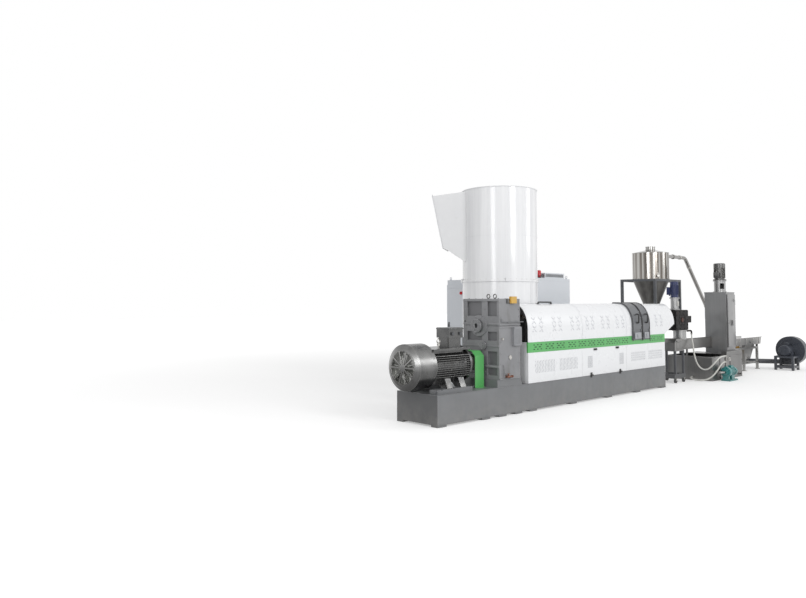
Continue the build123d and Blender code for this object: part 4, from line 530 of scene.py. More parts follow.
@made
def gearbox_trim():
    """Amber breather, grey cable box and zinc eyebolts, which are one node on the gearbox."""
    look = Surface("gearbox_trim", .36, edge=.002)
    spots = look.noise(40, 4)
    amber = look.inside(at(1.455, -.08, 1.555), at(1.6, .08, 1.7))
    grey = look.inside(at(1.5, -.08, .9), at(1.72, .08, 1.25))
    look.drift(spots, (.1, .1, .1), (.2, .2, .195))
    look.over(amber, (.6, .36, .065))
    look.over(grey, (.25, .256, .27))
    look.marks((9, 5), .55, .75, .35, (.2, .17, .13))
    look.rub(.4, (.55, .55, .55))
    bare = look.math("SUBTRACT", 1, look.math("MAXIMUM", amber, grey))
    look.tree.links.new(bare, look.shader.inputs["Metallic"])
    look.done(spots, .28, .44)


def speckled(name, roughness, spots, dark, bright, low=.4, high=.7, metallic=0, bump=None):
    """Two near tones in spots of a scale and detail, which may also stand out as a bump."""
    look = Surface(name, roughness, metallic)
    spots = look.noise(*spots)
    look.drift(spots, dark, bright, low, high)
    if bump:
        look.bump(spots, *bump)
    look.done()


# Near black, as painted shade of the hood's hollow inside
@made
def hollow_painted_shade():
    speckled("hollow_painted_shade", .8, (40, 4), (.01, .01, .011), (.03, .029, .028))


@made
def slot_shade():
    """Soft grey painted shade of a pressed vent in white sheet."""
    speckled("slot_shade", .5, (60,), (.42, .43, .45), (.54, .55, .57))


@made
def louvre_shade():
    """Faint shade in a pressed louvre or a seam of the hood."""
    speckled("louvre_shade", .5, (60,), (.58, .59, .62), (.66, .67, .7))


@made
def stripe_slot_shade():
    """Dark green edge and black inside of the stripe's slots, painted shade in place of holes."""
    speckled("stripe_slot_shade", .6, (50,), (.006, .03, .01), (.012, .055, .018))


@made
def hot_plug():
    """Rust red of the hot plug in the die head."""
    speckled("hot_plug", .6, (30, 5), (.035, .012, .008), (.085, .026, .015), .35, .65,
              bump=(.3, .002))


@made
def copper_red():
    """Reddish brass of drain fittings."""
    speckled("copper_red", .42, (50, 4), (.15, .055, .038), (.26, .125, .08), .35, .65, .6,
              (.25, .001))


@made
# Real water, its near-black tone painted shade of the deep inside
def water_painted_shade():
    speckled("water_painted_shade", .04, (9,), (.012, .016, .018), (.022, .028, .03), .4, .6,
              bump=(.25, .006))


@made
def bright_zinc():
    look = Surface("bright_zinc", .32, 1, edge=.0015)
    spangle = look.noise(90, 4)
    look.drift(spangle, (.42, .41, .39), (.62, .61, .58), .35)
    look.done(spangle, .25, .45)


@made
def black_rubber():
    look = Surface("black_rubber", .6)
    look.bump((150,), .3, .0008)
    look.drift((12, 4), (.012, .012, .013), (.04, .039, .038))
    look.done()


@made
def latch_grey():
    paint("latch_grey", (.33, .34, .36), .34, (.5, .5, .5), mottle=.06, peel=.1)


@made
def heater_steel():
    look = Surface("heater_steel", .36, 1, edge=.002)
    tint = look.noise(7, 4)
    look.drift(tint, (.3, .28, .25), (.4, .3, .18), .35, .65)
    look.done(tint, .28, .5)


# CAD nodes whose finish differs from their slot's usual one
OWN_FINISH = {
    "silo_steel": ("silo_shell",), "cone_steel": ("silo_cone",), "chute_white": ("drum_lid", "feed_chute"),
    "bright_zinc": ("shaft_coupling",), "blower_blue": ("blower_duct",), "gearbox_trim": ("gearbox_fittings",),
    "tank_steel": ("water_tank", "pellet_trough", "discharge_box"), "tray_steel": ("sieve_tray", "sieve_frame"),
    "pipe_steel": ("silo_lid", "conveying_pipe", "pump_pipes"), "strap_grey": ("degassing_covers",),
    "cowl_steel": ("motor_fan_cowl",), "cover_cast": ("gearbox_covers",)}
look_of = {piece["node"]: piece["material_slot"] for piece in frame["record"]["subparts"]}
look_of.update({name: look for look, names in OWN_FINISH.items() for name in names})
for name, solid in frame["nodes"].items():
    solid.data.materials.clear()
    solid.data.materials.append(finish[look_of[name]])
for piece in (feed_hose, return_hose):
    piece.data.materials.append(finish["hose_white"])


def circle(count, start=0):
    """Directions spread evenly about the z axis."""
    angles = [start + 2 * math.pi * i / count for i in range(count)]
    return [Vector((math.cos(angle), math.sin(angle), 0)) for angle in angles]


def circle_points(centre, axis, radius, count, start=0):
    """Places spread evenly on a circle about an axis."""
    turn = Vector(axis).to_track_quat("Z", "Y").to_matrix()
    return [Vector(centre) + turn @ out * radius for out in circle(count, start)]


# Edges of detail pieces that are steeper than this, in degrees, stay sharp
SHARP_ANGLE = 35
pieces = []


class Piece:
    """One detail piece, its faces collected in metres from the base corner."""

    def __init__(self, name, slot, look=None, body="line"):
        self.name, self.slot, self.look, self.body = name, slot, look or slot, body
        self.mesh = bmesh.new()
        pieces.append(self)

    def box(self, low, high, bevel=0):
        """Box between two corners, its edges rounded by bevel."""
        made = bmesh.ops.create_cube(self.mesh, size=1)["verts"]
        for vert in made:
            vert.co = [far if side > 0 else near for side, near, far in zip(vert.co, low, high)]
        if bevel:
            edges = {edge for vert in made for edge in vert.link_edges}
            bmesh.ops.bevel(self.mesh, geom=list(edges), offset=bevel, segments=2, affect="EDGES", profile=.6)

    def twins(self, low, high, bevel=0):
        """Box on the front of the cover and its twin on the back."""
        self.box(low, high, bevel)
        self.box((low[0], HOOD_WIDTH - high[1], low[2]), (high[0], HOOD_WIDTH - low[1], high[2]), bevel)

    def plate(self, centre, across, up, size, thickness, bevel=0):
        """Flat plate about a centre, lying along two directions."""
        across, up = Vector(across).normalized(), Vector(up).normalized()
        half = Vector((*size, thickness)) / 2
        before = set(self.mesh.verts)
        self.box(-half, half, bevel)
        turn = Matrix((across, up, across.cross(up))).transposed().to_4x4()
        turn.translation = Vector(centre)
        for vert in self.mesh.verts:
            if vert not in before:
                vert.co = turn @ vert.co

    def rod(self, start, stop, radius, sides=16, stop_radius=None):
        """Round bar or cone between two points."""
        start, stop = Vector(start), Vector(stop)
        turn = (stop - start).to_track_quat("Z", "Y").to_matrix().to_4x4()
        turn.translation = (start + stop) / 2
        bmesh.ops.create_cone(self.mesh, cap_ends=True, segments=sides, radius1=radius, radius2=stop_radius or radius,
                              depth=(stop - start).length, matrix=turn)

    def bolt(self, place, out, size):
        """Hexagon head on a washer, on a face that looks out."""
        place, out = Vector(place), Vector(out).normalized()
        self.rod(place, place + out * size * .16, size * 1.05, 14)
        self.rod(place + out * size * .14, place + out * size * .78, size * .8, 6)

    def bolts(self, xs, ys, zs, out, size):
        """Bolts wherever three rows of places meet, each a tuple or one number."""
        rows = [row if isinstance(row, tuple) else (row,) for row in (xs, ys, zs)]
        for place in product(*rows):
            self.bolt(place, out, size)

    def bolt_circle(self, centre, axis, radius, count, start, size, out=None):
        for place in circle_points(centre, axis, radius, count, start):
            self.bolt(place, out or axis, size)

    def skin(self, rows, closed):
        """Faces over rows of points, bent to a ring when closed, else with a cap at each end."""
        rows = [[self.mesh.verts.new(point) for point in row] for row in rows]
        count = len(rows[0])
        for row, after in zip(rows, rows[1:] + rows[:1] if closed else rows[1:]):
            for j in range(count):
                self.mesh.faces.new((row[j], row[(j + 1) % count], after[(j + 1) % count], after[j]))
        if not closed:
            self.mesh.faces.new(rows[0][::-1])
            self.mesh.faces.new(rows[-1])

    def ring(self, centre, axis, section, sides):
        """Ring round an axis, its section given by distances from the axis and along it."""
        axis = Vector(axis).normalized()
        self.skin([[Vector(centre) + out * reach + axis * along for reach, along in section]
                   for out in circle_points((0, 0, 0), axis, 1, sides)], True)

    def hoop(self, centre, axis, radius, thickness, sides=48, ring=8):
        """Round wire bent to a ring."""
        self.ring(centre, axis, [(radius + thickness * out.x, thickness * out.y) for out in circle(ring)], sides)

    def band(self, centre, axis, radius, width, thickness, sides=40):
        """Flat strap round a cylinder, standing proud of it."""
        far = radius + thickness
        self.ring(centre, axis, [(radius, -width / 2), (far, -width / 2), (far, width / 2), (radius, width / 2)], sides)

    def tube(self, points, radius, ring=10):
        """Bent pipe through points, with mitred corners rounded by extra points."""
        points = [Vector(point) for point in points]
        smooth = [points[0]]
        for before, corner, after in zip(points, points[1:], points[2:]):
            trim = min((corner - before).length, (after - corner).length, radius * 6) * .45
            first, last = corner + (before - corner).normalized() * trim, corner + (after - corner).normalized() * trim
            for share in (0, .25, .5, .75, 1):
                smooth.append(first.lerp(corner, share).lerp(corner.lerp(last, share), share))
        smooth.append(points[-1])
        side = None
        rows = []
        for i, point in enumerate(smooth):
            ahead = (smooth[min(i + 1, len(smooth) - 1)] - smooth[max(i - 1, 0)]).normalized()
            side = ahead.orthogonal() if side is None else side - ahead * side.dot(ahead)
            side.normalize()
            rows.append([point + (side * out.x + ahead.cross(side) * out.y) * radius for out in circle(ring)])
        self.skin(rows, False)

    def strip(self, outline, start, length, thickness):
        """Sheet strip along x, following (y, z) points with their outward directions."""
        along = Vector((length, 0, 0))
        rows = []
        for point, out in outline:
            near = Vector((start, *point))
            far = near + Vector((0, *out)) * thickness
            rows.append((near, near + along, far + along, far))
        self.skin(rows, False)

    def done(self):
        """Make the object, give it its finish and let it ride."""
        for vert in self.mesh.verts:
            vert.co += LINE
        bmesh.ops.recalc_face_normals(self.mesh, faces=self.mesh.faces)
        data = bpy.data.meshes.new(self.name)
        self.mesh.to_mesh(data)
        self.mesh.free()
        for face in data.polygons:
            face.use_smooth = True
        data.set_sharp_from_angle(angle=math.radians(SHARP_ANGLE))
        data.materials.append(finish[self.look])
        made = add(self.name, data)
        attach(made, self.body)


# Hood section as in the model's source: upright to the knee, then an ellipse up to the flat top
HOOD_KNEE, HOOD_TOP, HOOD_SHOULDER, HOOD_WIDTH = 1.18, 1.55, .25, .74


def hood_at(z):
    """Front surface of the hood at a height: y, and the outward direction in y and z."""
    if z <= HOOD_KNEE:
        return 0, (-1, 0)
    rise = HOOD_TOP - HOOD_KNEE
    turn = math.asin(min(1, (z - HOOD_KNEE) / rise))
    out = Vector((-math.cos(turn) / HOOD_SHOULDER, math.sin(turn) / rise)).normalized()
    return HOOD_SHOULDER * (1 - math.cos(turn)), tuple(out)


def hood_outline(bottom, back, steps=22):
    """Points and outward directions up the hood's front and over its top."""
    heights = [bottom]
    for i in range(steps + 1):
        heights.append(HOOD_KNEE + (HOOD_TOP - HOOD_KNEE) * math.sin(math.pi / 2 * i / steps))
    rows = [((hood_at(z)[0], z), hood_at(z)[1]) for z in heights]
    return rows + [((back, HOOD_TOP), (0, 1))]


# Green stripe: groups of three rows of short slots
# Slot marks coloured dark as painted shade of holes
it = Piece("stripe_slots", "dark_steel", "stripe_slot_shade")
THREE, TWO = (-.088, 0, .088), (-.052, .052)
for centre in (2.131, 2.434, 2.723, 3.037, 3.321, 3.601, 3.875, 4.158, 4.402, 4.66, 5.66, 5.93):
    for z, half, columns in ((.885, .019, THREE), (.917, .028, TWO), (.949, .019, THREE)):
        for x in columns:
            it.twins((centre + x - half, -.0012, z - .008), (centre + x + half, .004, z + .008), .003)

# Hood, with pressed louvres in pairs of columns
louvres = Piece("hood_louvre_slots", "cover_white", "louvre_shade")
lips = Piece("hood_louvre_lips", "cover_white")
for x in (2.054, 2.227, 2.561, 2.72, 3.049, 3.219, 3.48, 3.644, 3.955, 4.125, 4.418, 4.609, 5.814, 6.01):
    for z, lean in ((1.154, -.9), (1.212, .9), (1.271, -.9), (1.329, .9)):
        y, out = hood_at(z)
        normal = Vector((0, *out))
        up = normal.cross(Vector(X))
        for side in (-1, 1):
            along = Vector(X) + up * lean * side
            centre = Vector((x + side * .024, y, z)) + normal * .001
            louvres.plate(centre, along, normal.cross(along), (.05, .013), .003, .001)
            centre += up * .009 + normal * .0012
            lips.plate(centre, along, normal.cross(along), (.05, .006), .004, .0015)

HOOD_ROWS = hood_outline(.992, .49)
it = Piece("cover_seams", "dark_steel", "louvre_shade")
for x in (3.328, 4.718):
    it.strip(HOOD_ROWS, x, .004, .001)
for z in (.8385, .9905):
    it.twins((1.894, -.0008, z - .0016), (6.128, .002, z + .0016))

# Hood's folded rim, straps and rivets
it = Piece("hood_rims", "cover_white")
it.strip(HOOD_ROWS, 1.893, .03, .0025)
for x in (3.3, 3.334, 4.69, 4.724):
    it.strip(HOOD_ROWS, x, .026, .0018)
for x in (1.91, 2.3, 2.75, 3.25, 3.42, 3.86, 4.3, 4.64, 4.8, 5.6, 6.05):
    it.rod((x, -.0005, 1.012), (x, -.0042, 1.012), .0075, 12)

it = Piece("hood_grip", "dark_steel", "black_rubber")
it.tube([(2.44, .215, 1.545), (2.44, .205, 1.574), (2.78, .205, 1.574), (2.78, .215, 1.545)], .011)
for x in (2.44, 2.78):
    it.box((x - .022, .2, 1.545), (x + .022, .24, 1.554), .002)

# Fold-down panels
it = Piece("panel_fastenings", "dark_steel", "black_rubber")
for x in (3.698, 4.391):
    it.box((x - .045, -.016, .796), (x + .045, .001, .828), .006)
    it.box((x - .018, -.026, .802), (x + .018, -.014, .822), .004)
for x in (3.575, 4.483):
    it.rod((x - .03, -.014, .404), (x + .03, -.014, .404), .013)
    it.box((x - .026, -.008, .404), (x + .026, .001, .446), .004)
    it.box((x - .02, -.01, .366), (x + .02, .001, .404), .004)

# Vents drawn as soft grey marks, painted shade of the pressed slots
slits = Piece("panel_vents", "cover_white", "slot_shade")
hatch = Piece("panel_hatch_vents", "cover_white", "slot_shade")
for (start, stop), i, row in product(((2.079, 2.548), (2.704, 3.164)), range(13), range(5)):
    lean = .5 if row % 2 else -.5
    for y in (-.0008, HOOD_WIDTH + .0008):
        place = (start + (stop - start) * i / 12, y, .556 + row * .036)
        slits.plate(place, (lean, 0, 1), (1, 0, -lean), (.04, .007), .002)
for centre, row in product((3.548, 4.538), range(13)):
    z = .528 + row * .0145
    slits.twins((centre - .07, -.0012, z), (centre + .07, .001, z + .0075))
for (start, stop), i, row in product(((4.872, 5.366), (5.496, 6)), range(22), range(4)):
    place = (start + (stop - start) * i / 21, -.0006, .57 + row * .04)
    hatch.plate(place, (.55, 0, 1), (1, 0, -.55), (.034, .0045), .0016)

# What shows in the open end of the hood
it = Piece("heater_bands", "stainless", "heater_steel")
for i in range(16):
    x = 1.9 + i * .285
    it.band((x, .356, 1.24), X, .1005, .21, .012)
    it.box((x - .03, .335, 1.352), (x + .03, .377, 1.38), .004)

# Frame and a sheet in the open end, coloured near black as painted shade of the hollow inside
it = Piece("hood_inner_frame", "dark_steel", "hollow_painted_shade")
it.box((1.9, .03, .995), (1.93, .06, 1.33), .003)
it.box((1.9, .03, 1.3), (1.93, .62, 1.33), .003)
it.box((1.935, .03, .995), (1.94, .25, 1.3))

# Main motor
MOTOR_Y, MOTOR_Z = .365, .738
it = Piece("motor_fan_grille", "motor_grey", "cowl_steel")
for radius, sides in ((.208, 72), (.04, 40)):
    it.hoop((-.251, MOTOR_Y, MOTOR_Z), X, radius, .0036, sides)
middle = Vector((.046, MOTOR_Y, MOTOR_Z))
for place in circle_points(middle, X, .297, 8, .4):
    it.bolt(place, place - middle, .009)

it = Piece("motor_fittings", "dark_steel", "bright_zinc")
it.bolt_circle((.8295, MOTOR_Y, MOTOR_Z), X, .205, 8, .39, .011)
for x, side in product((.288, .548), (-1, 1)):
    y = MOTOR_Y + side * .245
    it.rod((x + .03, y, .455), (x + .03, y, .492), .0085, 12)
    it.bolt((x + .07, y - side * .035, .512), (0, -side * .5, 1), .012)
it.hoop((.405, MOTOR_Y, 1.055), Y, .029, .008, 32, 10)
it.rod((.405, MOTOR_Y, .96), (.405, MOTOR_Y, 1.024), .011)
it.rod((.405, MOTOR_Y, .99), (.405, MOTOR_Y, 1.018), .022)
it.bolts((.505, .747), (.262, .468), 1.2195, Z, .007)

it = Piece("motor_box_glands", "motor_grey", "dark_steel")
for x in (.55, .702):
    it.rod((x, .2476, 1.148), (x, .236, 1.148), .021, 24)
    it.rod((x, .238, 1.148), (x, .228, 1.148), .024, 6)

it = Piece("motor_rail_bolts", "base_grey", "dark_steel")
for side in (-1, 1):
    y = MOTOR_Y + side * .305
    it.bolts((.1, .7), y + side * .045, .4553, Z, .013)
    it.rod((.044, y, .428), (.062, y, .428), .013, 6)

# Coupling guard
it = Piece("guard_rims", "vent_green")
for near, far in ((.145, .19), (.54, .585)):
    it.box((.952, near, .4002), (1.118, far, .405), .0015)
it.bolts((.98, 1.09), (.165, .565), .405, Z, .01)
GUARD_OUTLINE = [((.19, .402), (-1, 0)), ((.19, .835), (-.92, .38)), ((.255, .9), (-.38, .92)),
                 ((.475, .9), (.38, .92)), ((.54, .835), (.92, .38)), ((.54, .402), (1, 0))]
for x in (.942, 1.121):
    it.strip(GUARD_OUTLINE, x, .007, .0022)

# Gearbox
GEAR_FACE, GEAR_TOP = 1.235, 1.62
it = Piece("gearbox_bolts", "cast_grey")
for back, y, z, *circled in ((.073, .356, 1.24, .07, 8, .2, .0095), (.018, .356, 1.24, .128, 8, .39, .0105),
                             (.0275, .284, .964, .05, 6, .3, .0085),
                             (.03, MOTOR_Y, MOTOR_Z, .094, 8, .39, .01)):
    it.bolt_circle((GEAR_FACE - back, y, z), BACK_X, *circled)
for y, z in product((.256, .605), (.6, .68, .8, .93, 1.02, 1.3, 1.345, 1.48, 1.602)):
    it.bolt((GEAR_FACE, y if z != 1.3 else .62, z), BACK_X, .009)
it.bolts((1.265, 1.35, 1.435, 1.675), 0, (1.215, 1.265), FRONT, .01)
it.bolts((1.262, 1.678), 0, (.72, .86, 1.02, 1.37, 1.47, 1.565), FRONT, .009)
it.bolts((1.3, 1.45, 1.6), (.06, .6), GEAR_TOP, Z, .011)

it = Piece("gearbox_ribs", "cast_grey")
for low, high in ((.668, .69), (.95, .972), (1.2565, 1.2785), (GEAR_TOP - .036, GEAR_TOP - .004)):
    it.box((GEAR_FACE - .012, .004, low), (GEAR_FACE + .002, .652, high), .004)
for low, high in ((1.06, 1.3), (1.36, 1.55), (.7, .92)):
    it.box((1.262, .607, low), (GEAR_FACE + .001, .64, high), .004)
it.box((1.232, -.01, .5004), (1.708, .004, .516), .003)
it.box((1.232, -.008, 1.214), (1.708, .001, 1.2345), .003)
it.box((1.232, -.008, 1.2455), (1.708, .001, 1.266), .003)

it = Piece("gearbox_oil_pipes", "cast_grey", "base_grey")
it.tube([(1.262, -.02, 1.345), (1.262, -.024, 1.3), (1.4, -.024, 1.292), (1.75, -.024, 1.292),
         (1.88, .1, 1.292)], .0065)
it.tube([(1.315, -.012, .7), (1.315, -.022, .64), (1.315, -.022, .552)], .006)
for x in (1.42, 1.62):
    it.rod((x, 0, 1.292), (x, -.03, 1.292), .01, 12)

it = Piece("gearbox_drain_cock", "cast_grey", "copper_red")
it.rod((1.385, 0, .54), (1.385, -.05, .54), .019, 20)
it.rod((1.35, -.04, .54), (1.46, -.04, .54), .014)
it.rod((1.452, -.04, .54), (1.48, -.04, .54), .019, 6)
it.rod((1.385, -.04, .554), (1.385, -.04, .58), .007, 10)
it.box((1.352, -.046, .576), (1.42, -.034, .584), .003)

it = Piece("gearbox_oil_glass", "cast_grey", "bright_zinc")
it.rod((1.47, 0, .8), (1.47, -.01, .8), .03, 28)
it.hoop((1.47, -.01, .8), Y, .026, .004, 32)
it.rod((1.3, 0, 1.06), (1.3, -.018, 1.06), .016, 6)

it = Piece("cable_box_ribs", "cast_grey")
for i in range(5):
    x = 1.545 + i * .0305
    it.box((x - .0035, -.0455, .985), (x + .0035, -.0415, 1.198), .0015)
it.bolts((1.53, 1.682), -.042, (.972, 1.21), FRONT, .0055)

it = Piece("breather_cap", "yellow")
it.bolts((1.474, 1.578), -.038, (1.568, 1.638), FRONT, .0055)

# Base frame
it = Piece("base_welds_and_lugs", "base_grey")
for first, last, radius in (((1.192, -.001, .4025), (1.745, -.001, .4025), .0045),
                            ((.004, -.0015, .3985), (6.126, -.0015, .3985), .004),
                            ((-.0015, .004, .3985), (-.0015, .736, .3985), .004),
                            ((.006, -.001, .03), (6.124, -.001, .03), .003)):
    it.tube([first, last], radius, 6)
for x in (0, .86, 1.215, 1.575, 1.925, 2.975, 4.035, 5, 5.96):
    it.box((x + .015, -.012, 0), (x + .155, .02, .014), .002)
    it.bolt((x + .085, -.004, .014), Z, .0065)

# Compactor drum and chute
it = Piece("drum_flange_bolts", "drum_white", "bright_zinc")
it.bolt_circle((DRUM_X, DRUM_Y, 1.931), Z, .6155, 40, 0, .0085)
for x, y, z in circle_points((DRUM_X, DRUM_Y, 3.392), Z, .56, 24):
    it.rod((x, y, z - .0125), (x, y, z - .0005), .0105, 6)
it = Piece("drum_weld_seams", "drum_white")
it.hoop((DRUM_X, DRUM_Y, 2.62), Z, .6068, .0022, 96, 6)
it.box((DRUM_X - .0025, DRUM_Y - .609, 1.06), (DRUM_X + .0025, DRUM_Y - .605, 1.89))
it.box((DRUM_X + .2405, DRUM_Y - .56, 1.94), (DRUM_X + .2455, DRUM_Y - .5555, 3.375))

CHUTE_TURN = math.radians(125.6)
chute_out = Vector((math.cos(CHUTE_TURN), math.sin(CHUTE_TURN), 0))
chute_side = Vector((-chute_out.y, chute_out.x, 0))
it = Piece("chute_collar_bolts", "drum_white", "bright_zinc")
for i, side in product(range(9), (-1, 1)):
    point = Vector((.905, 0, 2.47)).lerp(Vector((1.07, 0, 3.3)), i / 8)
    place = Vector((DRUM_X, DRUM_Y, point.z)) + chute_out * (point.x - .002) + chute_side * side * .333
    it.bolt(place, -chute_out, .008)

it = Piece("drum_stand_anchors", "base_grey", "bright_zinc")
it.bolts((2.102, 2.228, 2.972, 3.098), (.825, 1.425), .015, Z, .011)

# Degassing covers
STRAPS = ((4.9, .335), (5.25, .27))
it = Piece("cover_latches", "dark_steel", "latch_grey")
for start, length in STRAPS:
    it.box((start + .055, -.038, .935), (start + length - .055, -.0195, 1.045), .006)
    middle = start + length / 2
    it.box((middle - .032, -.05, .965), (middle + .032, -.036, 1.015), .005)
    for x in (start + .02, start + length - .02):
        it.bolts(x, -.02, (.945, 1.085, 1.165), FRONT, .007)
        for z in (1.3, 1.4):
            y, out = hood_at(z)
            it.bolt((x, y + out[0] * .02, z + out[1] * .02), (0, *out), .007)

it = Piece("cover_grip_sleeves", "dark_steel", "black_rubber")
for x in (5.0675, 5.385):
    it.tube([(x, -.02, 1.215), (x, -.05, 1.215), (x, -.05, 1.365), (x, -.01, 1.365)], .0125)
    for z in (1.215, 1.365):
        it.box((x - .045, -.026, z - .012), (x + .045, -.0185, z + .012), .003)

it = Piece("cover_strap_rims", "dark_steel", "black_rubber")
STRAP_ROWS = [((y + out[0] * .02, z + out[1] * .02), out) for (y, z), out in hood_outline(.9, .36)]
for start, length in STRAPS:
    for x in (start + .001, start + length - .017):
        it.strip(STRAP_ROWS, x, .016, .006)

# Die head
it = Piece("die_head_bolts", "hot_iron")
it.bolts((7.085, 7.225, 7.415, 7.555), .2, (1.055, 1.39), FRONT, .014)
it.bolts((7.085, 7.555), .2, (1.13, 1.225, 1.32), FRONT, .012)
it.bolt_circle((7.32, .2, 1.225), FRONT, .105, 8, .39, .012)
it.hoop((7.32, .201, 1.225), Y, .14, .007)
it.hoop((7.32, .201, 1.225), Y, .062, .006, 40)
it.bolt_circle((7.7805, .32, 1.2325), X, .048, 4, .78, .01)

it = Piece("die_head_plug", "hot_iron", "hot_plug")
it.rod((7.32, .201, 1.225), (7.32, .19, 1.225), .044, 32)

# Pelletizer
it = Piece("pelletizer_bolts", "stainless", "bright_zinc")
for z, out in ((1.443, Z), (1.657, DOWN)):
    it.bolt_circle((7.33, .355, z), Z, .088, 8, .2, .0085, out)
it.box((7.29, .2795, 1.5), (7.37, .2835, 1.6), .003)
it.bolt_circle((7.45, .32, .998), Z, .1235, 10, .1, .0085, DOWN)
it.bolt_circle((7.45, .32, .852), Z, .132, 10, .1, .0075)

it = Piece("cutter_motor_cover", "motor_blue")
it.rod((7.33, .355, 1.93), (7.33, .355, 1.99), .0785, 32)
it.hoop((7.33, .355, 1.93), Z, .0785, .0035, 40)
it.box((7.28, .4905, 1.73), (7.38, .4975, 1.89), .003)
it.rod((7.33, .455, 1.735), (7.33, .455, 1.708), .015, 12)

castors = Piece("castor_tyres", "dark_steel", "black_rubber")
forks = Piece("castor_forks", "dark_steel", "bright_zinc")
for x, y in product((6.88, 7.23), (.16, .5)):
    castors.rod((x, y - .017, .042), (x, y + .017, .042), .0415, 28)
    castors.rod((x, y - .021, .042), (x, y + .021, .042), .009, 12)
    forks.box((x - .03, y - .03, .0855), (x + .03, y + .03, .0905), .0015)
    for side in (-.0195, .0195):
        forks.box((x - .015, y + side - .0015, .036), (x + .015, y + side + .0015, .087), .0006)

it = Piece("discharge_box_door", "stainless", "tank_steel")
it.box((6.852, .142, .616), (7.258, .15, .632), .002)
it.box((6.852, .142, .616), (6.86, .498, .632), .002)
it.tube([(6.935, .14, .8), (6.935, .118, .8), (7.055, .118, .8), (7.055, .14, .8)], .006, 8)
it.box((6.932, .1462, .648), (7.238, .1502, .836), .0015)
it.bolts((6.95, 7.22), .1462, (.665, .82), FRONT, .0065)

# Water of trough and tank, coloured near black as painted shade of their deep insides, and the tank's rims
it = Piece("cooling_water", "stainless", "water_painted_shade")
it.box((7.256, .251, .668), (8.79, .359, .69))
it.box((7.755, -.165, .395), (8.695, .745, .402))

it = Piece("tank_rims", "stainless", "tank_steel")
it.box((7.706, -.216, .464), (9.244, -.21, .4795), .002)
it.box((7.704, -.214, .464), (7.71, .754, .4795), .002)
it.box((7.712, -.2125, .004), (9.238, -.2085, .02), .001)
for x in (8.1, 8.62):
    it.box((x - .016, -.22, .02), (x + .016, -.2085, .462), .002)
it.rod((9.1, -.209, .06), (9.1, -.245, .06), .017, 20)
it.rod((9.1, -.24, .06), (9.1, -.256, .06), .024, 6)
it.bolts(9.246, (-.02, .13, .28), .5, X, .006)

# Dewatering tower, with the furniture that rides on its door
TOWER_X, TOWER_Y = 9.03, .13
it = Piece("tower_seams_and_bolts", "stainless")
it.bolts(8.7995, (-.07, .355), (.52, .8, 1.1, 1.4, 1.72), BACK_X, .006)
it.box((8.788, -.097, .4802), (9.252, -.0845, .494), .002)
it.box((8.788, -.09, .4802), (8.8, .375, .494), .002)
for z, out in ((1.814, Z), (2.041, DOWN)):
    it.bolt_circle((TOWER_X, TOWER_Y, z), Z, .125, 8, .39, .0075, out)

it = Piece("tower_door_furniture", "stainless", body="door")
it.box((8.838, -.1125, .633), (9.202, -.1095, 1.737), .001)
it.box((9.12, -.124, 1.59), (9.18, -.112, 1.66), .004)
it.rod((9.15, -.1235, 1.625), (9.15, -.134, 1.625), .014, 20)
it.box((8.872, -.123, 1.12), (8.912, -.112, 1.2), .003)
it.bolts((8.85, 9.19), -.1125, (.65, 1, 1.35, 1.72), FRONT, .005)

it = Piece("tower_motor_fittings", "motor_grey")
for z in (2.1455, 2.325):
    it.hoop((TOWER_X, TOWER_Y, z), Z, .1165, .0035)
for radius in (.045, .07, .095):
    it.hoop((TOWER_X, TOWER_Y, 2.4255), Z, radius, .0028, 40, 6)
it.box((8.85, .07, 2.1195), (8.858, .19, 2.226), .002)
it.bolt_circle((TOWER_X, TOWER_Y, 2.077), Z, .124, 4, .78, .009)

# Pump
PUMP_Y, PUMP_Z = -.37, .18
it = Piece("pump_bolts", "pump_teal")
it.bolt_circle((7.955, PUMP_Y, PUMP_Z), BACK_X, .084, 8, .39, .008)
it.bolt_circle((8, PUMP_Y, .3085), Z, .027, 4, .78, .0055)
for x in (8.1, 8.2):
    it.hoop((x, PUMP_Y, PUMP_Z), X, .0885, .003, 40, 6)
for radius in (.03, .05, .07):
    it.hoop((8.3455, PUMP_Y, PUMP_Z), X, radius, .0025, 32, 6)
it.bolts((7.98, 8.3), (-.445, -.295), .03, Z, .008)
it = Piece("valve_wheel_and_clamps", "stainless", "bright_zinc")
it.rod((8, -.402, .44), (8, -.445, .44), .008, 12)
it.hoop((8, -.44, .44), Y, .034, .0055, 32)
it.box((7.968, -.4435, .436), (8.032, -.4365, .444), .001)
it.box((7.996, -.4435, .408), (8.004, -.4365, .472), .001)
for x, z in product((7.962, 7.978), (.5, .385)):
    it.band((x, PUMP_Y, z), X, .0182, .007, .0022, 32)
it.band((7.73, .2, .923), Z, .0153, .01, .0035, 32)
it.rod((7.73, .2, .932), (7.73, .2, .948), .0235, 6)
it.band((7.672, .19, .06), X, .0153, .01, .0035, 32)
it.rod((7.6795, .19, .06), (7.694, .19, .06), .0235, 6)

# Sieve
it = Piece("sieve_screen_and_rims", "stainless", "tray_steel")
it.box((9.366, .156, .648), (11.36, .604, .6505))
for i in range(46):
    x = 9.39 + i * .043
    it.box((x, .157, .6505), (x + .005, .603, .66))
for x, (near, far) in product((9.72, 10.1, 10.5, 10.9, 11.26), ((.144, .1505), (.6095, .616))):
    it.box((x, near, .6), (x + .03, far, .752), .002)
for y in (.1445, .6155):
    it.tube([(9.36, y, .7545), (11.448, y, .7545)], .0085)

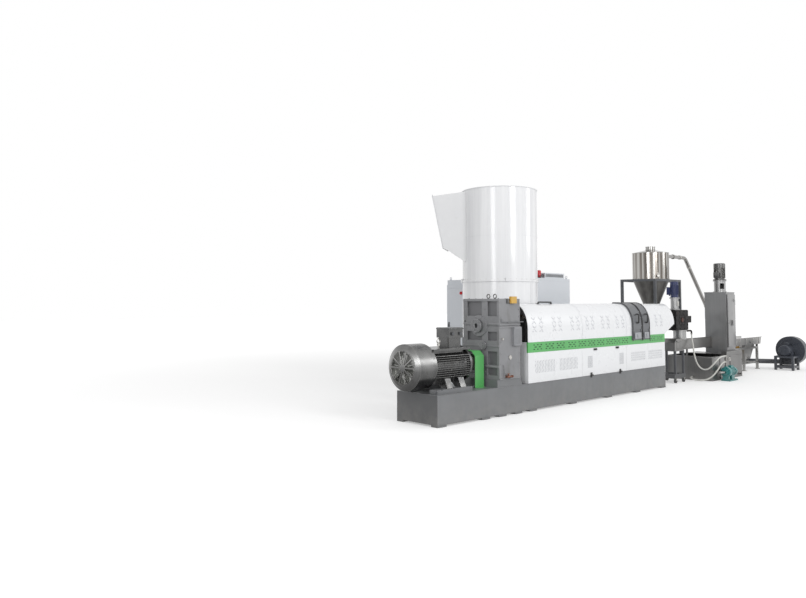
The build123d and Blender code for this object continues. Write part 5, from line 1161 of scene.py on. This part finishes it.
it = Piece("sieve_springs", "stainless", "black_rubber")
TURNS, STEPS = 4, 56
for x, y in product((9.585, 10.39, 11.21), (.175, .585)):
    turns = [(2 * math.pi * TURNS * i / STEPS, .543 + .044 * i / STEPS) for i in range(STEPS + 1)]
    points = [(x + .027 * math.cos(turn), y + .027 * math.sin(turn), z) for turn, z in turns]
    for first, last in zip(points, points[1:]):
        it.rod(first, last, .0034, 6)

it = Piece("sieve_leg_braces", "stainless", "tray_steel")
for y in (.172, .588):
    it.box((9.585, y - .016, .15), (11.21, y + .016, .178), .003)
for x in (9.585, 10.39, 11.21):
    it.box((x - .016, .18, .15), (x + .016, .58, .178), .003)
    for y in (.175, .585):
        it.rod((x, y, .012), (x, y, .02), .046, 24, .03)

it = Piece("vibrator_fittings", "orange")
for x, end in ((10.15, 10.138), (10.32, 10.332)):
    it.rod((x, .29, .48), (end, .29, .48), .056, 28)
it.box((10.19, .226, .455), (10.28, .242, .51), .005)
for x, y in product((10.165, 10.305), (.25, .33)):
    it.rod((x, y, .56), (x, y, .59), .007, 6)
for i in range(8):
    it.hoop((10.185 + i * .015, .29, .48), X, .053, .0028, 32, 6)

# Blower
BLOWER = Vector((11.64, -.4, .455))
it = Piece("blower_rim", "blower_blue")
it.bolt_circle(BLOWER, BACK_X, .266, 16, .1, .0085)
for radius in (.15, .24):
    it.hoop(BLOWER, X, radius, .005, 64)
for place in circle_points(BLOWER, BACK_X, .195, 6, .2):
    it.rod(BLOWER.lerp(place, .78), BLOWER.lerp(place, 1.22), .0045, 8)
for radius in (.035, .06, .085):
    it.hoop((11.2695, -.4, .455), X, radius, .0028, 36, 6)
it.hoop((11.345, -.4, .455), X, .1245, .0035, 48, 6)
it.box((11.405, -.445, .57), (11.515, -.355, .632), .006)
it.bolt_circle((11.8605, -.4, .455), X, .155, 8, .2, .0085)

it = Piece("duct_couplings", "dark_steel", "bright_zinc")
for x, y in ((11.75, -.18), (11.45, .5), (11.45, .62)):
    it.band((x, y, .16), Y, .0552, .016, .008)
it.band((11.45, .66, .16), Y, .0402, .03, .019)

# Silo
it = Piece("silo_bands", "stainless", "pipe_steel")
for x, y, z in circle_points((SILO_X, SILO_Y, 2.085), Z, .3835, 24):
    it.rod((x, y, z), (x, y, z + .01), .007, 6)
for z, radius, width, thickness, sides in ((2.0775, .3812, .012, .0045, 96), (2.653, .3812, .012, .0045, 96),
                                           (2.79, .0972, .016, .006, 48), (2.734, .0972, .012, .007, 48)):
    it.band((SILO_X, SILO_Y, z), Z, radius, width, thickness, sides)
for x, y, z in circle_points((SILO_X, SILO_Y, 2.79), Z, .103, 3, .5):
    it.rod((x, y, z - .018), (x, y, z + .01), .007, 10)

it = Piece("silo_level_probe", "stainless", "bright_zinc")
PROBE_TURN = math.radians(228)
outward = Vector((math.cos(PROBE_TURN), math.sin(PROBE_TURN), 0))
for z, near, far, radius, sides in ((2.15, -.004, .03, .024, 24), (2.15, .028, .042, .032, 6),
                                    (2.2, -.004, .018, .013, 12)):
    spot = Vector((SILO_X, SILO_Y, z)) + outward * .381
    it.rod(spot + outward * near, spot + outward * far, radius, sides)

it = Piece("silo_stand_anchors", "dark_steel", "bright_zinc")
it.bolts((SILO_X - .58, SILO_X + .58), (SILO_Y - .325, SILO_Y + .325), .01, Z, .01)

it = Piece("pipe_couplings", "stainless", "bright_zinc")
bend = Vector((9.05, .9, 2.585))
slope = (Vector((11.45, .9, .16)) - bend).normalized()
for place, axis in ((Vector((8.78, .9, 2.585)), Vector(X)), (bend + slope * .28, slope),
                    (bend + slope * 1.55, slope), (bend + slope * 2.75, slope)):
    for step in (-.022, .022):
        it.band(place + axis * step, axis, .0402, .014, .006)
    it.band(place, axis, .0402, .03, .0025)

# Control cabinet
DOOR_PITCH = 1.94 / 3
fitted = Piece("cabinet_fittings", "cabinet_grey")
handles = Piece("cabinet_handles_and_grilles", "dark_steel", "black_rubber")
for number in range(3):
    near = 1.06 + number * DOOR_PITCH
    far = near + DOOR_PITCH
    for z in (.35, 1.05, 1.75):
        fitted.rod((3.3975, near + .01, z - .03), (3.3975, near + .01, z + .03), .007, 12)
    for z in (.16, 1.844):
        fitted.box((3.3925, near + .03, z), (3.3985, far - .03, z + .006), .001)
    handles.box((3.3905, far - .071, 1.02), (3.3985, far - .039, 1.2), .004)
    handles.box((3.377, far - .065, 1.04), (3.3915, far - .045, 1.165), .004)
for y, x in product((1.1, 2.96), (3.47, 4.57)):
    fitted.rod((x, y, 2), (x, y, 2.012), .02, 20)
    fitted.hoop((x, y, 2.034), X, .019, .006, 28)
for z in (.12, 1.955):
    fitted.box((3.418, 1.0575, z), (4.622, 1.0605, z + .006))
for i in range(11):
    y = 1.084 + i * .0345
    handles.box((3.8585, y, 2.022), (3.8605, y + .02, 2.076))
for i in range(16):
    x = 3.885 + i * .0345
    handles.box((x, 1.0685, 2.022), (x + .02, 1.0705, 2.076))

it = Piece("cabinet_switch", "beacon_red")
it.rod((3.3985, 2.63, 1.75), (3.378, 2.63, 1.75), .03, 24)
it.box((3.362, 2.622, 1.726), (3.38, 2.638, 1.774), .003)

it = Piece("beacon_collar", "dark_steel", "black_rubber")
it.rod((3.755, 1.13, 2.0005), (3.755, 1.13, 2.016), .0385, 28)
it.rod((3.755, 1.13, 2.034), (3.755, 1.13, 2.0445), .0485, 32)

# Pieces are finished in the order in which they stand here
for piece in pieces:
    piece.done()


def seen_directly(tree):
    """One for camera, glossy and transmission rays, zero for the rays that light the object."""
    rays = node(tree, "LightPath").outputs
    seen = rays["Is Camera Ray"]
    for kind in ("Is Glossy Ray", "Is Transmission Ray"):
        seen = node(tree, "Math", {0: seen, 1: rays[kind]}, operation="MAXIMUM").outputs[0]
    return seen


# Studio floor: the lamps reach less far than the floor, so its own white grows with the distance
pale = Surface("studio_floor", 1, specular=0)
pale.shader.inputs["Base Color"].default_value = (.76, .76, .76, 1)
white = pale.spread(pale.length(pale.place), 5, 16, .34, .62)
glow = pale.node("Emission", {"Strength": pale.times(seen_directly(pale.tree), white)})
both = pale.node("AddShader", {0: pale.shader.outputs[0], 1: glow.outputs[0]})
pale.tree.links.new(both.outputs[0], pale.tree.nodes["Material Output"].inputs["Surface"])

floor_data = bpy.data.meshes.new("studio_floor")
floor_data.from_pydata([(x, y, -.001) for x, y in ((-60, -60), (60, -60), (60, 60), (-60, 60))], [], [(0, 1, 2, 3)])
floor_data.materials.append(pale.material)
add("studio_floor", floor_data)

# Soft square lamps, each turned from its place to a target
for name, place, target, size, power in (("key", (-5.5, -12, 6), (-1, 0, 1), (3.2, 6), 480),
                                         ("side", (8, -11, 6), (3, 0, 1), (3.2, 5.5), 290),
                                         ("end", (-14, -4, 4.5), (-3, 0, 1), (2.8, 5.5), 250)):
    data = bpy.data.lights.new(name, "AREA")
    data.shape = "RECTANGLE"
    data.size, data.size_y = size
    data.energy = power
    light = add(name, data)
    light.location = place
    light.rotation_euler = (Vector(target) - Vector(place)).to_track_quat("-Z", "Y").to_euler()

# White background, dimmer for the rays that light the object
world = bpy.data.worlds.new("studio")
bpy.context.scene.world = world
world.use_nodes = True
sky = world.node_tree.nodes["Background"]
sky.inputs["Color"].default_value = (1, 1, 1, 1)
strength = node(world.node_tree, "MapRange", {"To Min": .62, "To Max": 1, "Value": seen_directly(world.node_tree)})
world.node_tree.links.new(strength.outputs["Result"], sky.inputs["Strength"])
bpy.context.scene.view_settings.view_transform = "Standard"
